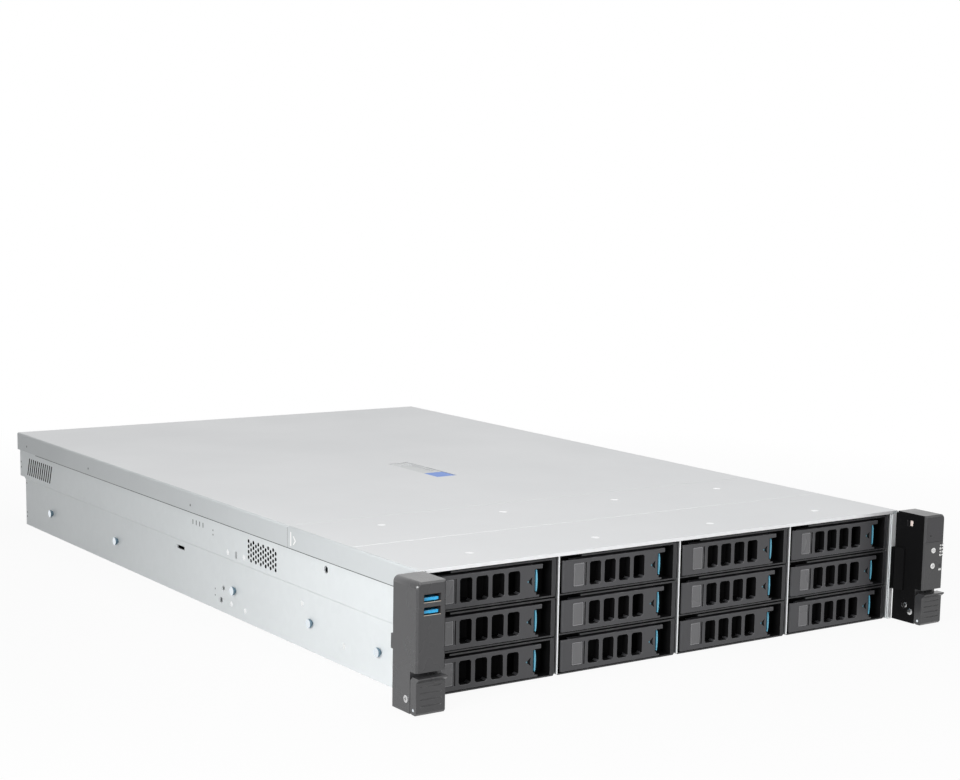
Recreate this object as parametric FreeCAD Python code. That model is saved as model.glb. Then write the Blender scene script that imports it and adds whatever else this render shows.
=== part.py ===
import FreeCAD, Part
import math
import os

# A 2U rack server with twelve front drive bays, in millimetres.
# While it is built, X runs to the right, Y to the rear and Z up, with Y = 0 at the
# front edge of the sheet metal, X = 0 in the middle and Z = 0 on the underside.
# The finished pieces are then moved so that Y = 0 is the middle of the footprint.

# ---------------------------------------------------------------- driving sizes
# body
side_room = 6.4
headroom = 2.2
cover_depth = 716.0
cover_overhang = 3.0
rear_step = 11.0
floor_set_back = 16.3
sheet = 1.2
cover_sheet = 1.0
slide_gap = 0.3
seat_gap = 0.3
side_flange_drop = 16.0
bend_radius = 1.5
band_step_height = 44.0
band_recess = 1.0
band_slope = 1.5
wall_top_flange = 10.0
front_flange = 4.4
front_hem = 1.5
cover_past_cage = 9.0
cover_seam = 0.4
cover_fold_line = 87.0
cover_fold_width = 1.2
cover_fold_depth = 0.15

# drive bays
columns = 4
rows = 3
drive_side_room = 2.85
drive_row_room = 1.8
row_base = 0.6
divider = 1.2
divider_set_back = 1.3
drive_end_room = 4.7
ledge_width = 1.8
ledge_thickness = 1.2
ledge_drop = 0.7
ledge_set_back = 2.0
cage_window_margin = 12.0
cage_window_inset = 4.0

# drive carrier, in its own bay: X from the divider, Z from the row's base
face_set_back = 2.5
carrier_side_gap = 1.0
frame_bottom = -0.4
frame_top_gap = 1.5
frame_plate = 2.0
frame_plate_y = 14.0
frame_window_left = 20.0
frame_window_right_gap = 19.3
frame_window_low = 4.0
frame_window_top_gap = 3.9
top_rail_start = 20.0
top_rail_thickness = 1.2
bottom_rail_thickness = 1.0
right_bar_width = 3.6
right_bar_chamfer = 1.0
rail_thickness = 1.4
rail_height = 11.0
rail_side_gap = 0.5
rail_end_gap = 2.0
drive_width = 101.6
drive_height = 26.1
drive_length = 147.0
drive_bottom = 0.9
drive_lid_inset = 3.0
drive_lid_height = 1.4

# carrier lever
lever_left = 3.9
lever_right_gap = 18.0
lever_bottom = 1.0
lever_top_gap = 1.8
lever_depth = 6.0
lever_plate = 1.9
lever_flange = 1.5
lever_pin_x = 7.8
lever_pin_back = 3.7
lever_pin_radius = 1.2
pin_clearance = 0.05
knuckle_half_width = 2.3
knuckle_set_in = 5.5
hinge_gap = 0.35
hinge_ear_thickness = 2.6
hinge_ear_half_width = 1.5
hinge_ear_front = 1.3
hinge_ear_embed = 1.0
lever_hollow_start = 13.0
hook_reach = 5.2
hook_height = 3.0
lever_heel_chamfer = 1.0
vent_left = 27.5
vent_pitch = 12.9
vent_width = 9.6
vent_low_margin = 3.3
vent_high_margin = 2.8
vent_chamfer = 1.2
vent_post = 2.2
vents_per_lever = 4
inset_left = 13.7
inset_width = 9.2
inset_depth = 0.4
groove_left = 23.7
groove_width = 0.9

# release strip
release_end_gap = 3.7
release_width = 4.4
release_proud = 1.4
release_lip = 1.5
release_lip_set_back = 0.3
release_depth = 3.2
release_travel = 1.0
release_bow = 0.7
release_gap = 0.3

# rack ears
ear_lap = 1.7
ear_width = 22.0
ear_front = 30.6
ear_back = 2.2
ear_bottom = 0.3
ear_corner = 4.0
ear_edge = 1.2
ear_web = 3.0
ear_tab_length = 26.0
ear_tab_rise = 4.0
ear_tab_drop = 2.5
rack_hole_set_in = 8.75
rack_hole_height = 21.0
rack_hole_radius = 2.75
rack_hook_width = 3.5
rack_hook_set_in = 0.5
rack_hook_reach = 3.2
rack_hook_heights = (38.0, 48.0)
ear_screw_hole = (12.7, 13.5, 3.0, 4.0)

# ear lever
ear_lever_top = 25.0
ear_lever_gap = 3.0
ear_lever_cheek = 7.4
ear_lever_cheek_thickness = 1.6
ear_lever_plate = 1.4
ear_lever_ceiling = 1.6
ear_lever_back_gap = 0.4
ear_lever_heel = (1.2, 1.5)
ear_lever_tail_radius = 3.3
ear_lever_tail_turns = (-69.0, -39.0, -14.0)
ear_lever_shoulder = 2.5
ear_lever_lip = 2.8
ear_lever_lip_edge = 1.0
ear_lever_lip_root = 3.8
ear_lever_lip_embed = 0.5
ear_pin_set_back = 3.8
ear_pin_height = 3.4
ear_pin_radius = 1.1
ear_pin_end = 0.2
ear_post_radius = 2.0
ear_post_half = 1.5
grip_ribs = 4
grip_pitch = 4.2
grip_depth = 0.6
grip_width = 0.8
grip_first = 6.0
grip_margin = 3.0
cross_pin_back = 11.2
cross_pin_height = 9.4
cross_pin_radius = 2.4
cross_pin_head = 0.7

# front ports and buttons
usb_width = 13.1
usb_height = 5.7
usb_depth = 17.0
usb_shell = 0.35
usb_inset = 10.5
usb_drops = (10.6, 18.9)
usb_tongue_width = 10.6
usb_tongue_height = 1.9
usb_tongue_rise = 0.7
usb_tongue_set_back = 1.5
usb_back = 3.0
button_inset = 10.1
power_drop = 27.7
id_drop = 39.9
button_radius = 2.2
button_proud = 0.5
button_travel = 1.0
button_length = 7.0
button_clearance = 0.3
status_set_in = 2.7
status_drop = 28.1
status_width = 3.8
status_tall = 10.6
status_depth = 2.2
panel_drop = 21.3
panel_depth = 0.5
panel_margin = 1.6
side_window_back = (12.0, 18.0)
side_window_drop = (5.5, 10.5)
side_window_depth = 4.0
cable_cover_bottom = 25.0
cable_cover_drop = 28.5
cable_cover_reach = 11.6
cable_cover_width = 4.2
cable_cover_nose = 1.8
cable_cover_slits = 2
cable_cover_slit = 0.9
cable_cover_slit_pitch = 3.2

# rail studs on the lower band
stud_positions = (51.0, 145.0, 265.0, 487.0, 635.0)
stud_height = 21.0
stud_shank_radius = 2.2
stud_shank_length = 1.6
stud_head_radius = 3.4
stud_head_length = 1.6

# side vents
side_vent_set_back = 9.5
side_vent_columns = 12
side_vent_pitch = 3.9
side_vent_rows = 4
side_vent_row_pitch = 4.1
side_vent_rise = 5.6
side_vent_radius = 1.6
rear_vent_first = 81.0
rear_vent_last = 21.0
rear_vent_pitch = 5.0
rear_vent_rise = 4.5
rear_vent_drop = 5.5
rear_vent_slot = 2.2
rear_vent_lean = 6.0
cable_slot = (354.0, 368.0, 36.2, 39.2)
narrow_slot = (260.0, 262.6, 46.8, 52.0)
tooling_holes = ((285.0, 19.1, 2.2), (289.0, 9.0, 2.6), (123.0, 64.0, 3.0))

# cover latch
latch_width = 19.0
latch_set_back = 129.5
latch_length = 77.0
latch_gap = 0.5
latch_thickness = 2.2
latch_pan_depth = 8.0
latch_pin_back = 2.4
latch_pin_drop = 4.2
latch_pin_radius = 1.2
latch_pad_length = 22.0
latch_lug_half = 5.0
latch_lug_low = 2.0
latch_lug_front = 2.2
latch_lug_rear = 1.6
latch_recess = 0.3
latch_scoop_margin = 3.0
latch_scoop_end = 8.0
latch_scoop_depth = 0.8
latch_pad_chamfer = 0.8

# backplane and fans
backplane_thickness = 1.6
connector_width = 42.0
connector_height = 5.0
connector_left = 14.0
connector_low = 5.0
backplane_gap = (60.0, 91.0, 6.0, 22.0)
fan_count = 3
fan_side_room = 17.0
fan_top_gap = 3.7
fan_depth = 38.0
fan_set_back = 18.5
fan_rim = 2.0
fan_hub_radius = 16.0
fan_hub_length = 22.0
fan_blades = 7
fan_tip_gap = 1.5
fan_blade_thickness = 1.2
fan_blade_pitch_angle = 38.0
fan_shaft_radius = 1.5
fan_boss_radius = 14.0
fan_boss_length = 4.0
fan_boss_gap = 1.0
fan_strut = 3.0
fan_blade_inset = 1.0
fan_blade_embed = 3.0
fan_wall_sheet = 1.0
fan_wall_end_gap = 2.5
fan_wall_lap = 1.0

# mainboard
board_side_gap = 9.5
board_supply_gap = 7.7
board_fan_gap = 36.0
board_rear_gap = 12.0
board_height = 7.2
board_thickness = 1.6
standoff_radius = 3.0
socket_left_inset = 86.0
socket_right_inset = 88.0
socket_set_back = 98.0
socket_size = 78.0
socket_thickness = 6.0
sink_size = 92.0
sink_base = 6.0
sink_fins = 10
sink_fin_thickness = 1.4
sink_latch_gap = 4.7
memory_length = 133.0
memory_height = 31.0
memory_thickness = 3.4
memory_pitch = 9.6
memory_clear = 7.0
standoff_inset = 12.0
standoff_rear_inset = 30.0

# rear wall, ports and power supplies
supply_width = 73.5
supply_top_gap = 2.5
supply_length = 185.0
supply_right_gap = 1.0
supply_gap = 0.3
supply_shelf = 1.0
supply_handle_reach = 22.0
supply_handle_width = 30.0
supply_handle_bar = 3.0
supply_handle_height = 12.0
inlet_width = 24.0
inlet_height = 16.0
inlet_depth = 14.0
inlet_margin = 8.0
supply_vents = 7
supply_vent_first = 4.0
supply_vent_pitch = 4.6
supply_vent_width = 2.6
supply_vent_depth = 3.0
supply_vent_low = 4.0
supply_vent_high = 14.0
supply_handle_margin = 3.0
supply_tab = (1.5, 3.0, 13.0)
supply_tab_heights = (9.5, 15.0)
slot_cover_width = 118.0
slot_cover_gap = 3.8
slot_cover_thickness = 0.9
slot_cover_lap = 4.0
slot_cover_lap_low = 1.9
slot_vents = 4
slot_vent_pitch = 25.0
slot_vent_width = 21.0
slot_vent_height = 6.0
riser_side_gap = 5.5
riser_pitch = 152.0
riser_columns = 2
riser_levels = 2
riser_base = 3.0
riser_top_gap = 1.3
exhaust_slots = 12
exhaust_inset = 150.0
exhaust_right_gap = 4.8
exhaust_bar = 4.6
exhaust_bottom = 8.0
exhaust_top = 38.0
jack_width = 15.6
jack_height = 13.0
jack_depth = 21.0
jack_pitch = 19.6
jack_opening = (11.8, 8.0)
jack_opening_low = 2.0
jack_cavity = 13.0
jack_proud = 0.6
network_jacks = 3
port_row_inset = 12.0
port_gap = 0.3
screen_port = (78.5, 31.0, 12.2, 16.0)
stacked_port = (118.5, 13.5, 15.2, 18.0)
port_proud = 0.3

# ---------------------------------------------------------------- worked-out places
column_pitch = drive_width + 2 * drive_side_room
row_pitch = drive_height + drive_row_room
body_width = columns * column_pitch + 2 * side_room
body_height = row_base + rows * row_pitch + headroom
upper_band_depth = cover_depth - cover_overhang
lower_band_depth = upper_band_depth - rear_step
half_width = body_width / 2
wall_x = half_width - cover_sheet - slide_gap
band_x = wall_x - band_recess
cover_underside = body_height - cover_sheet
wall_top = cover_underside - seat_gap
flange_bottom = body_height - side_flange_drop
band_top = band_step_height + band_slope
cage_half = columns * column_pitch / 2
drive_front = frame_plate_y + frame_plate + seat_gap
drive_end = drive_front + drive_length
cage_depth = drive_end + drive_end_room
front_cover_depth = cage_depth + cover_past_cage

frame_top = row_pitch - frame_top_gap
carrier_left = divider / 2 + carrier_side_gap
carrier_right = column_pitch - divider / 2 - carrier_side_gap
lever_right = column_pitch - lever_right_gap
lever_top = frame_top - top_rail_thickness - lever_top_gap
lever_middle = (lever_bottom + lever_top) / 2
lever_pin_y = face_set_back + lever_pin_back
knuckle_low = lever_bottom + knuckle_set_in
knuckle_high = lever_top - knuckle_set_in
vent_low = lever_bottom + vent_low_margin
vent_high = lever_top - vent_high_margin
release_half = (lever_top - lever_bottom) / 2 - release_end_gap
release_right = lever_right + release_proud

ear_inner = half_width - ear_lap
ear_outer = ear_inner + ear_width
ear_pin_y = ear_pin_set_back - ear_front
cross_pin_y = cross_pin_back - ear_front
rack_hole_x = ear_outer - rack_hole_set_in
usb_x = ear_inner + usb_inset
usb_heights = [body_height - drop for drop in usb_drops]
button_x = ear_inner + button_inset
power_height = body_height - power_drop
id_height = body_height - id_drop
status_x = ear_outer - status_set_in
status_height = body_height - status_drop

backplane_y = cage_depth + sheet + seat_gap
fan_front = backplane_y + fan_set_back
fan_pitch = (body_width - 2 * fan_side_room) / fan_count
fan_size = wall_top - fan_top_gap - sheet - seat_gap
fan_bore = fan_size / 2 - fan_rim
fan_blade_radius = fan_bore - fan_tip_gap
fan_centre_height = sheet + seat_gap + fan_size / 2
latch_front = front_cover_depth + latch_set_back

supply_right = band_x - sheet - supply_right_gap
supply_left = supply_right - supply_width
supply_partition = supply_left - supply_gap
supply_rear = lower_band_depth
supply_base = sheet + seat_gap
supply_height = (wall_top - supply_top_gap - supply_base - 2 * supply_gap - supply_shelf) / 2
supply_bottoms = (supply_base, supply_base + supply_height + supply_gap + supply_shelf + supply_gap)

board_left = board_side_gap - band_x + sheet
board_right = supply_partition - supply_shelf - board_supply_gap
board_front = fan_front + fan_depth + board_fan_gap
board_rear = lower_band_depth - board_rear_gap
board_top = board_height + board_thickness
socket_y = board_front + socket_set_back
socket_x = (board_left + socket_left_inset, board_right - socket_right_inset)
memory_room = (socket_x[1] - socket_x[0] - sink_size - memory_thickness) / 2 - memory_clear
memory_per_side = int(memory_room / memory_pitch) + 1
sink_top = body_height - latch_pan_depth - cover_sheet - sink_latch_gap
riser_left = riser_side_gap - band_x + sheet
riser_bottom = band_top + riser_base
slot_cover_height = (wall_top - riser_top_gap - riser_bottom + slot_cover_gap) / riser_levels - slot_cover_gap
exhaust_left = board_left + exhaust_inset
exhaust_pitch = (board_right - exhaust_right_gap - exhaust_left) / exhaust_slots
port_row_left = board_left + port_row_inset

front_reach = ear_front + ear_lever_lip
rear_reach = supply_rear + supply_handle_reach
footprint_middle = (rear_reach - front_reach) / 2


# ---------------------------------------------------------------- shape helpers
def vec(x, y, z):
    return FreeCAD.Vector(x, y, z)


def block(x0, x1, y0, y1, z0, z1):
    return Part.makeBox(x1 - x0, y1 - y0, z1 - z0, vec(x0, y0, z0))


def rod(centre, axis, radius, length):
    return Part.makeCylinder(radius, length, vec(*centre), vec(*axis))


def faceted_rod(centre, axis, radius, length, sides=12):
    """A many-sided rod for small pins and heads; its corners lie on the radius."""
    x, y, z = centre
    run = vec(*axis)
    across = vec(0, 0, 1) if abs(run.z) < 0.5 else vec(1, 0, 0)
    other = run.cross(across)
    points = []
    for step in range(sides):
        turn = 2 * math.pi * (step + 0.5) / sides
        spoke = across * (radius * math.cos(turn)) + other * (radius * math.sin(turn))
        points.append(vec(x, y, z) + spoke)
    outline = Part.makePolygon(points + points[:1])
    return Part.Face(outline).extrude(run * length)


def faceted_bore(centre, axis, radius, length):
    """The hole for a faceted rod of this radius: its flats clear the rod's corners as it turns."""
    return faceted_rod(centre, axis, (radius + pin_clearance) / math.cos(math.pi / 12), length)


def prism(corners, sweep):
    """A straight-sided solid: a closed outline of corner points swept along a vector."""
    points = [vec(*corner) for corner in corners]
    outline = Part.makePolygon(points + points[:1])
    return Part.Face(outline).extrude(vec(*sweep))


def fused(first, *others):
    return first.fuse(list(others)).removeSplitter() if others else first


def edges_along(shape, direction, test):
    """The straight edges that run along a direction and whose middle passes a test."""
    chosen = []
    for edge in shape.Edges:
        if len(edge.Vertexes) != 2:
            continue
        run = edge.Vertexes[1].Point.sub(edge.Vertexes[0].Point)
        if run.Length and abs(abs(run.normalize().dot(vec(*direction))) - 1) < 1e-6:
            if test(edge.CenterOfMass):
                chosen.append(edge)
    return chosen


def mirrored(shape):
    """The same piece on the other side of the server."""
    return shape.mirror(vec(0, 0, 0), vec(1, 0, 0))


def hexagon(centre_y, centre_z, radius, x0, x1):
    turns = [math.radians(60 * step + 30) for step in range(6)]
    corners = [(x0, centre_y + radius * math.cos(turn), centre_z + radius * math.sin(turn))
               for turn in turns]
    return prism(corners, (x1 - x0, 0, 0))


# ---------------------------------------------------------------- chassis sheet metal
def wall_outline(inset):
    """Half outline of the tray's section, as (x, z), moved inwards by an inset."""
    lower = band_step_height - band_slope / 2
    upper = band_step_height + band_slope / 2
    return [(band_x - inset, inset), (band_x - inset, lower), (wall_x - inset, upper)]


def tray_prism(inset, top, y0, y1):
    right = wall_outline(inset) + [(wall_x - inset, top)]
    left = [(-x, z) for x, z in reversed(right)]
    return prism([(x, y0, z) for x, z in right + left], (0, y1 - y0, 0))


def side_vent_tools():
    """Staggered round holes beside the fans and leaning slots beside the cards."""
    x0 = band_x - 2 * sheet
    x1 = half_width + sheet
    tools = []
    for column in range(side_vent_columns):
        y = fan_front + side_vent_set_back + column * side_vent_pitch
        shift = side_vent_row_pitch / 2 if column % 2 else 0.0
        for row in range(side_vent_rows):
            z = band_step_height + side_vent_rise + shift + row * side_vent_row_pitch
            tools.append(hexagon(y, z, side_vent_radius, x0, x1))
    low = band_step_height + rear_vent_rise
    high = flange_bottom - rear_vent_drop
    for slot in range(int((rear_vent_first - rear_vent_last) / rear_vent_pitch)):
        y = upper_band_depth - rear_vent_first + slot * rear_vent_pitch
        corners = [(x0, y, high), (x0, y + rear_vent_slot, high),
                   (x0, y + rear_vent_slot + rear_vent_lean, low), (x0, y + rear_vent_lean, low)]
        tools.append(prism(corners, (x1 - x0, 0, 0)))
    return tools


def side_hole_tools():
    """The two slots and the tooling holes that both side walls have."""
    x0 = band_x - 2 * sheet
    x1 = half_width + sheet
    slots = [block(x0, x1, y0, y1, z0, z1) for y0, y1, z0, z1 in (cable_slot, narrow_slot)]
    holes = [hexagon(y, z, radius, x0, x1) for y, z, radius in tooling_holes]
    return slots + holes


def chassis_base():
    """The open tray with its stepped walls, folded edges, front flanges, vents and holes."""
    tray = tray_prism(0, wall_top, 0, upper_band_depth)
    inside = tray_prism(sheet, wall_top - sheet, -sheet, upper_band_depth + sheet)
    mouth = wall_x - wall_top_flange
    strip_top = cover_underside - front_hem - seat_gap
    top_mouth = block(-mouth, mouth, -sheet, upper_band_depth + sheet, wall_top - 2 * sheet, body_height)
    front_mouth = block(-half_width, half_width, -sheet, divider_set_back, strip_top, body_height)
    rear_notch = block(-half_width, half_width, lower_band_depth, cover_depth, -sheet, band_top)
    edge = wall_x - front_flange
    floor_notch = block(-edge, edge, -sheet, floor_set_back, -sheet, 2 * sheet)
    tray = tray.cut([inside, top_mouth, front_mouth, rear_notch, floor_notch])
    flanges = [block(edge, wall_x, 0, sheet, band_top, strip_top),
               block(edge, band_x, 0, sheet, sheet / 2, band_top)]
    tray = fused(tray, *(flanges + [mirrored(flange) for flange in flanges]))
    tools = side_vent_tools() + side_hole_tools()
    tools += [mirrored(tool) for tool in tools]
    return tray.cut(tools)


def cover_shell(y0, y1):
    """A flat top with two folded side flanges and rounded bends."""
    shell = block(-half_width, half_width, y0, y1, flange_bottom, body_height)
    shell = shell.makeFillet(bend_radius, edges_along(shell, (0, 1, 0), lambda p: p.z > cover_underside))
    inner = half_width - cover_sheet
    return shell.cut(block(-inner, inner, y0 - sheet, y1 + sheet, flange_bottom - sheet, cover_underside))


def front_cover():
    hem_half = cage_half + divider / 2
    hem = block(-hem_half, hem_half, 0, cover_sheet,
                cover_underside - front_hem, cover_underside + cover_sheet / 2)
    reach = half_width - bend_radius
    half = cover_fold_width / 2
    fold = block(-reach, reach, cover_fold_line - half, cover_fold_line + half,
                 body_height - cover_fold_depth, body_height + cover_sheet)
    return fused(cover_shell(0, front_cover_depth), hem).cut(fold)


def rear_cover():
    """The long lid with its opening for the latch, and the pan welded under that opening."""
    cover = cover_shell(front_cover_depth + cover_seam, cover_depth)
    half = latch_width / 2 + latch_gap
    y0 = latch_front - latch_gap
    y1 = latch_pin_place()[0] + math.hypot(latch_pin_back, latch_pin_drop) + seat_gap
    pan_floor = body_height - latch_pan_depth
    pan = block(-half - cover_sheet, half + cover_sheet, y0 - cover_sheet, y1 + cover_sheet,
                pan_floor - cover_sheet, cover_underside)
    hollow = block(-half, half, y0, y1, pan_floor, body_height + cover_sheet)
    return [cover.cut(hollow), pan.cut(hollow)]


def latch_pin_place():
    y = latch_front + latch_length - latch_pin_back
    return y, body_height - latch_pin_drop


def cover_latch():
    """The flip-up handle with its hinge lugs, the press pad at its front end and the hinge pin."""
    half = latch_width / 2
    top = body_height - latch_recess
    pin_y, pin_z = latch_pin_place()
    split = latch_front + latch_pad_length
    rear_end = latch_front + latch_length
    handle = block(-half, half, split, rear_end, top - latch_thickness, top)
    lug = block(-latch_lug_half, latch_lug_half, pin_y - latch_lug_front, pin_y + latch_lug_rear,
                pin_z - latch_lug_low, top - latch_thickness / 2)
    handle = fused(handle, lug)
    scoop = block(-half + latch_scoop_margin, half - latch_scoop_margin, split + latch_scoop_end,
                  rear_end - latch_scoop_end, top - latch_scoop_depth, body_height)
    bore = faceted_bore((-half, pin_y, pin_z), (1, 0, 0), latch_pin_radius, latch_width)
    handle = handle.cut([scoop, bore])
    pad = block(-half, half, latch_front, split, top - latch_thickness, top)
    corner = edges_along(pad, (1, 0, 0), lambda p: p.y < latch_front + latch_gap and p.z > top - latch_gap)
    pad = pad.makeChamfer(latch_pad_chamfer, corner)
    return [handle, pad]


def latch_pin():
    pin_y, pin_z = latch_pin_place()
    half = latch_width / 2 + latch_gap
    return faceted_rod((-half, pin_y, pin_z), (1, 0, 0), latch_pin_radius, 2 * half)


def rear_wall():
    """The stepped rear wall with its card slots, port openings and vents."""
    left = -(band_x - sheet - seat_gap)
    upper_left = -(wall_x - sheet - seat_gap)
    right = supply_partition - supply_shelf - seat_gap
    lower = block(left, right, lower_band_depth - sheet, lower_band_depth, sheet, band_top + sheet)
    shelf = block(upper_left, right, lower_band_depth - sheet, upper_band_depth, band_top, band_top + sheet)
    upper = block(upper_left, right, upper_band_depth - sheet, upper_band_depth,
                  band_top, wall_top - sheet - seat_gap)
    wall = fused(lower, shelf, upper)
    y0 = lower_band_depth - 3 * sheet
    y1 = upper_band_depth + sheet
    tools = []
    for x, z in slot_cover_places():
        tools.append(block(x + slot_cover_lap, x + slot_cover_width - slot_cover_lap, y0, y1,
                           z + slot_cover_lap_low, z + slot_cover_height - slot_cover_lap_low))
    openings = [(x, jack_width, jack_height) for x in jack_places()]
    openings += [(board_left + port[0], port[1], port[2]) for port in (screen_port, stacked_port)]
    for x, width, height in openings:
        tools.append(block(x - port_gap, x + width + port_gap, y0, y1,
                           board_top, board_top + height + port_gap))
    for slot in range(exhaust_slots):
        x = exhaust_left + slot * exhaust_pitch
        tools.append(block(x, x + exhaust_pitch - exhaust_bar, y0, y1, exhaust_bottom, exhaust_top))
    return wall.cut(tools)


def slot_cover_places():
    """The lower left corner, as (x, z), of each card slot's cover."""
    pitch = slot_cover_height + slot_cover_gap
    return [(riser_left + column * riser_pitch, riser_bottom + level * pitch)
            for column in range(riser_columns) for level in range(riser_levels)]


def slot_covers():
    """Blank brackets over the card slots, screwed against the inside of the rear wall."""
    covers = []
    y1 = upper_band_depth - sheet
    margin = (slot_cover_width - (slot_vents - 1) * slot_vent_pitch - slot_vent_width) / 2
    for x, z in slot_cover_places():
        cover = block(x, x + slot_cover_width, y1 - slot_cover_thickness, y1, z, z + slot_cover_height)
        low = z + (slot_cover_height - slot_vent_height) / 2
        starts = [x + margin + step * slot_vent_pitch for step in range(slot_vents)]
        high = low + slot_vent_height
        vents = [block(start, start + slot_vent_width, y1 - 2 * sheet, y1 + sheet, low, high)
                 for start in starts]
        covers.append(cover.cut(vents))
    return covers


def supply_cage():
    """The folded partition and shelf that guide the two power supplies."""
    y0 = supply_rear - supply_length
    y1 = supply_rear - 2 * sheet
    top = wall_top - sheet - seat_gap
    partition = block(supply_partition - supply_shelf, supply_partition, y0, y1, sheet, top)
    shelf_z = supply_bottoms[0] + supply_height + supply_gap
    shelf = block(supply_partition - supply_shelf / 2, band_x - sheet - seat_gap, y0, y1,
                  shelf_z, shelf_z + supply_shelf)
    return fused(partition, shelf)


# ---------------------------------------------------------------- drive cage
def drive_cage():
    """Dividers between the bay columns with a ledge under every carrier rail."""
    top = cover_underside - seat_gap - sheet
    ledge_front = frame_plate_y + frame_plate + ledge_set_back
    plates = []
    for column in range(columns + 1):
        x = -cage_half + column * column_pitch
        start = divider_set_back if abs(x) < cage_half - 1 else sheet + seat_gap
        plates.append(block(x - divider / 2, x + divider / 2, start, cage_depth, sheet, top))
    half = cage_half + divider / 2
    back = block(-half, half, cage_depth, cage_depth + sheet, sheet, top)
    windows = []
    ledges = []
    for column in range(columns):
        x = -cage_half + column * column_pitch
        windows.append(block(x + cage_window_margin, x + column_pitch - cage_window_margin,
                             cage_depth - sheet, cage_depth + 2 * sheet,
                             row_base + cage_window_inset, top - cage_window_inset))
        for row in range(rows):
            z = row_base + row * row_pitch + ledge_drop
            for side_x in (x + divider / 2, x + column_pitch - divider / 2 - ledge_width):
                ledges.append(block(side_x, side_x + ledge_width, ledge_front, cage_depth,
                                    z, z + ledge_thickness))
    return fused(plates[0], *(plates[1:] + [back] + ledges)).cut(windows)


# ---------------------------------------------------------------- drive carrier
def bay_origin(number):
    """The left divider's middle and the row's base for bay 1 to 12, counted along the rows."""
    row, column = divmod(number, columns)
    return -cage_half + column * column_pitch, row_base + (rows - 1 - row) * row_pitch


def hinge_ears():
    """The two lugs that carry the lever's pin, above and below its knuckle."""
    front = lever_pin_y - hinge_ear_front
    spans = [(knuckle_low - hinge_gap - hinge_ear_thickness, knuckle_low - hinge_gap),
             (knuckle_high + hinge_gap, knuckle_high + hinge_gap + hinge_ear_thickness)]
    half = hinge_ear_half_width
    outline = [(lever_pin_x - half / 2, front), (lever_pin_x + half / 2, front),
               (lever_pin_x + half, lever_pin_y), (lever_pin_x + half, frame_plate_y + hinge_ear_embed),
               (lever_pin_x - half, frame_plate_y + hinge_ear_embed), (lever_pin_x - half, lever_pin_y)]
    return [prism([(x, y, low) for x, y in outline], (0, 0, high - low)) for low, high in spans]


def carrier_tray():
    """The moulded frame with its window, bars, hinge ears and pin, and the two side rails."""
    x0 = carrier_left
    x1 = carrier_right
    bar_x = x1 - right_bar_width
    plate = block(x0, x1, frame_plate_y, frame_plate_y + frame_plate, frame_bottom, frame_top)
    window = block(frame_window_left, column_pitch - frame_window_right_gap, frame_plate_y - frame_plate,
                   frame_plate_y + 2 * frame_plate, frame_window_low, frame_top - frame_window_top_gap)
    bar = block(bar_x, x1, face_set_back, frame_plate_y, frame_bottom, frame_top)
    corners = edges_along(bar, (0, 1, 0), lambda p: p.x > bar_x + right_bar_width / 2)
    bar = bar.makeChamfer(right_bar_chamfer, corners)
    top_rail = block(top_rail_start, bar_x, face_set_back, frame_plate_y,
                     frame_top - top_rail_thickness, frame_top)
    bottom_rail = block(x0, bar_x, face_set_back, frame_plate_y,
                        frame_bottom, frame_bottom + bottom_rail_thickness)
    pin_low = knuckle_low - hinge_gap - hinge_ear_thickness / 2
    pin_high = knuckle_high + hinge_gap + hinge_ear_thickness / 2
    pin = faceted_rod((lever_pin_x, lever_pin_y, pin_low), (0, 0, 1), lever_pin_radius, pin_high - pin_low)
    rail_z = ledge_drop + ledge_thickness + seat_gap
    rail_x = divider / 2 + rail_side_gap
    rails = [block(x, x + rail_thickness, frame_plate_y, cage_depth - rail_end_gap,
                   rail_z, rail_z + rail_height)
             for x in (rail_x, column_pitch - rail_x - rail_thickness)]
    return fused(plate.cut(window), bar, top_rail, bottom_rail, pin, *(hinge_ears() + rails))


def drive():
    """A 3.5 inch drive: a cast body with a raised lid."""
    x0 = (column_pitch - drive_width) / 2
    lid_z = drive_bottom + drive_height - drive_lid_height
    body = block(x0, x0 + drive_width, drive_front, drive_end, drive_bottom, lid_z)
    lid = block(x0 + drive_lid_inset, x0 + drive_width - drive_lid_inset, drive_front + drive_lid_inset,
                drive_end - drive_lid_inset, lid_z, lid_z + drive_lid_height)
    return fused(body, lid)


def vent_tool(x):
    """One vent through the lever, with its four corners cut off."""
    y0 = face_set_back - sheet
    left, right = x, x + vent_width
    cut = vent_chamfer
    low, high = vent_low, vent_high
    corners = [(left + cut, low), (right - cut, low), (right, low + cut), (right, high - cut),
               (right - cut, high), (left + cut, high), (left, high - cut), (left, low + cut)]
    return prism([(x, y0, z) for x, z in corners], (0, lever_depth + 2 * sheet, 0))


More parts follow.
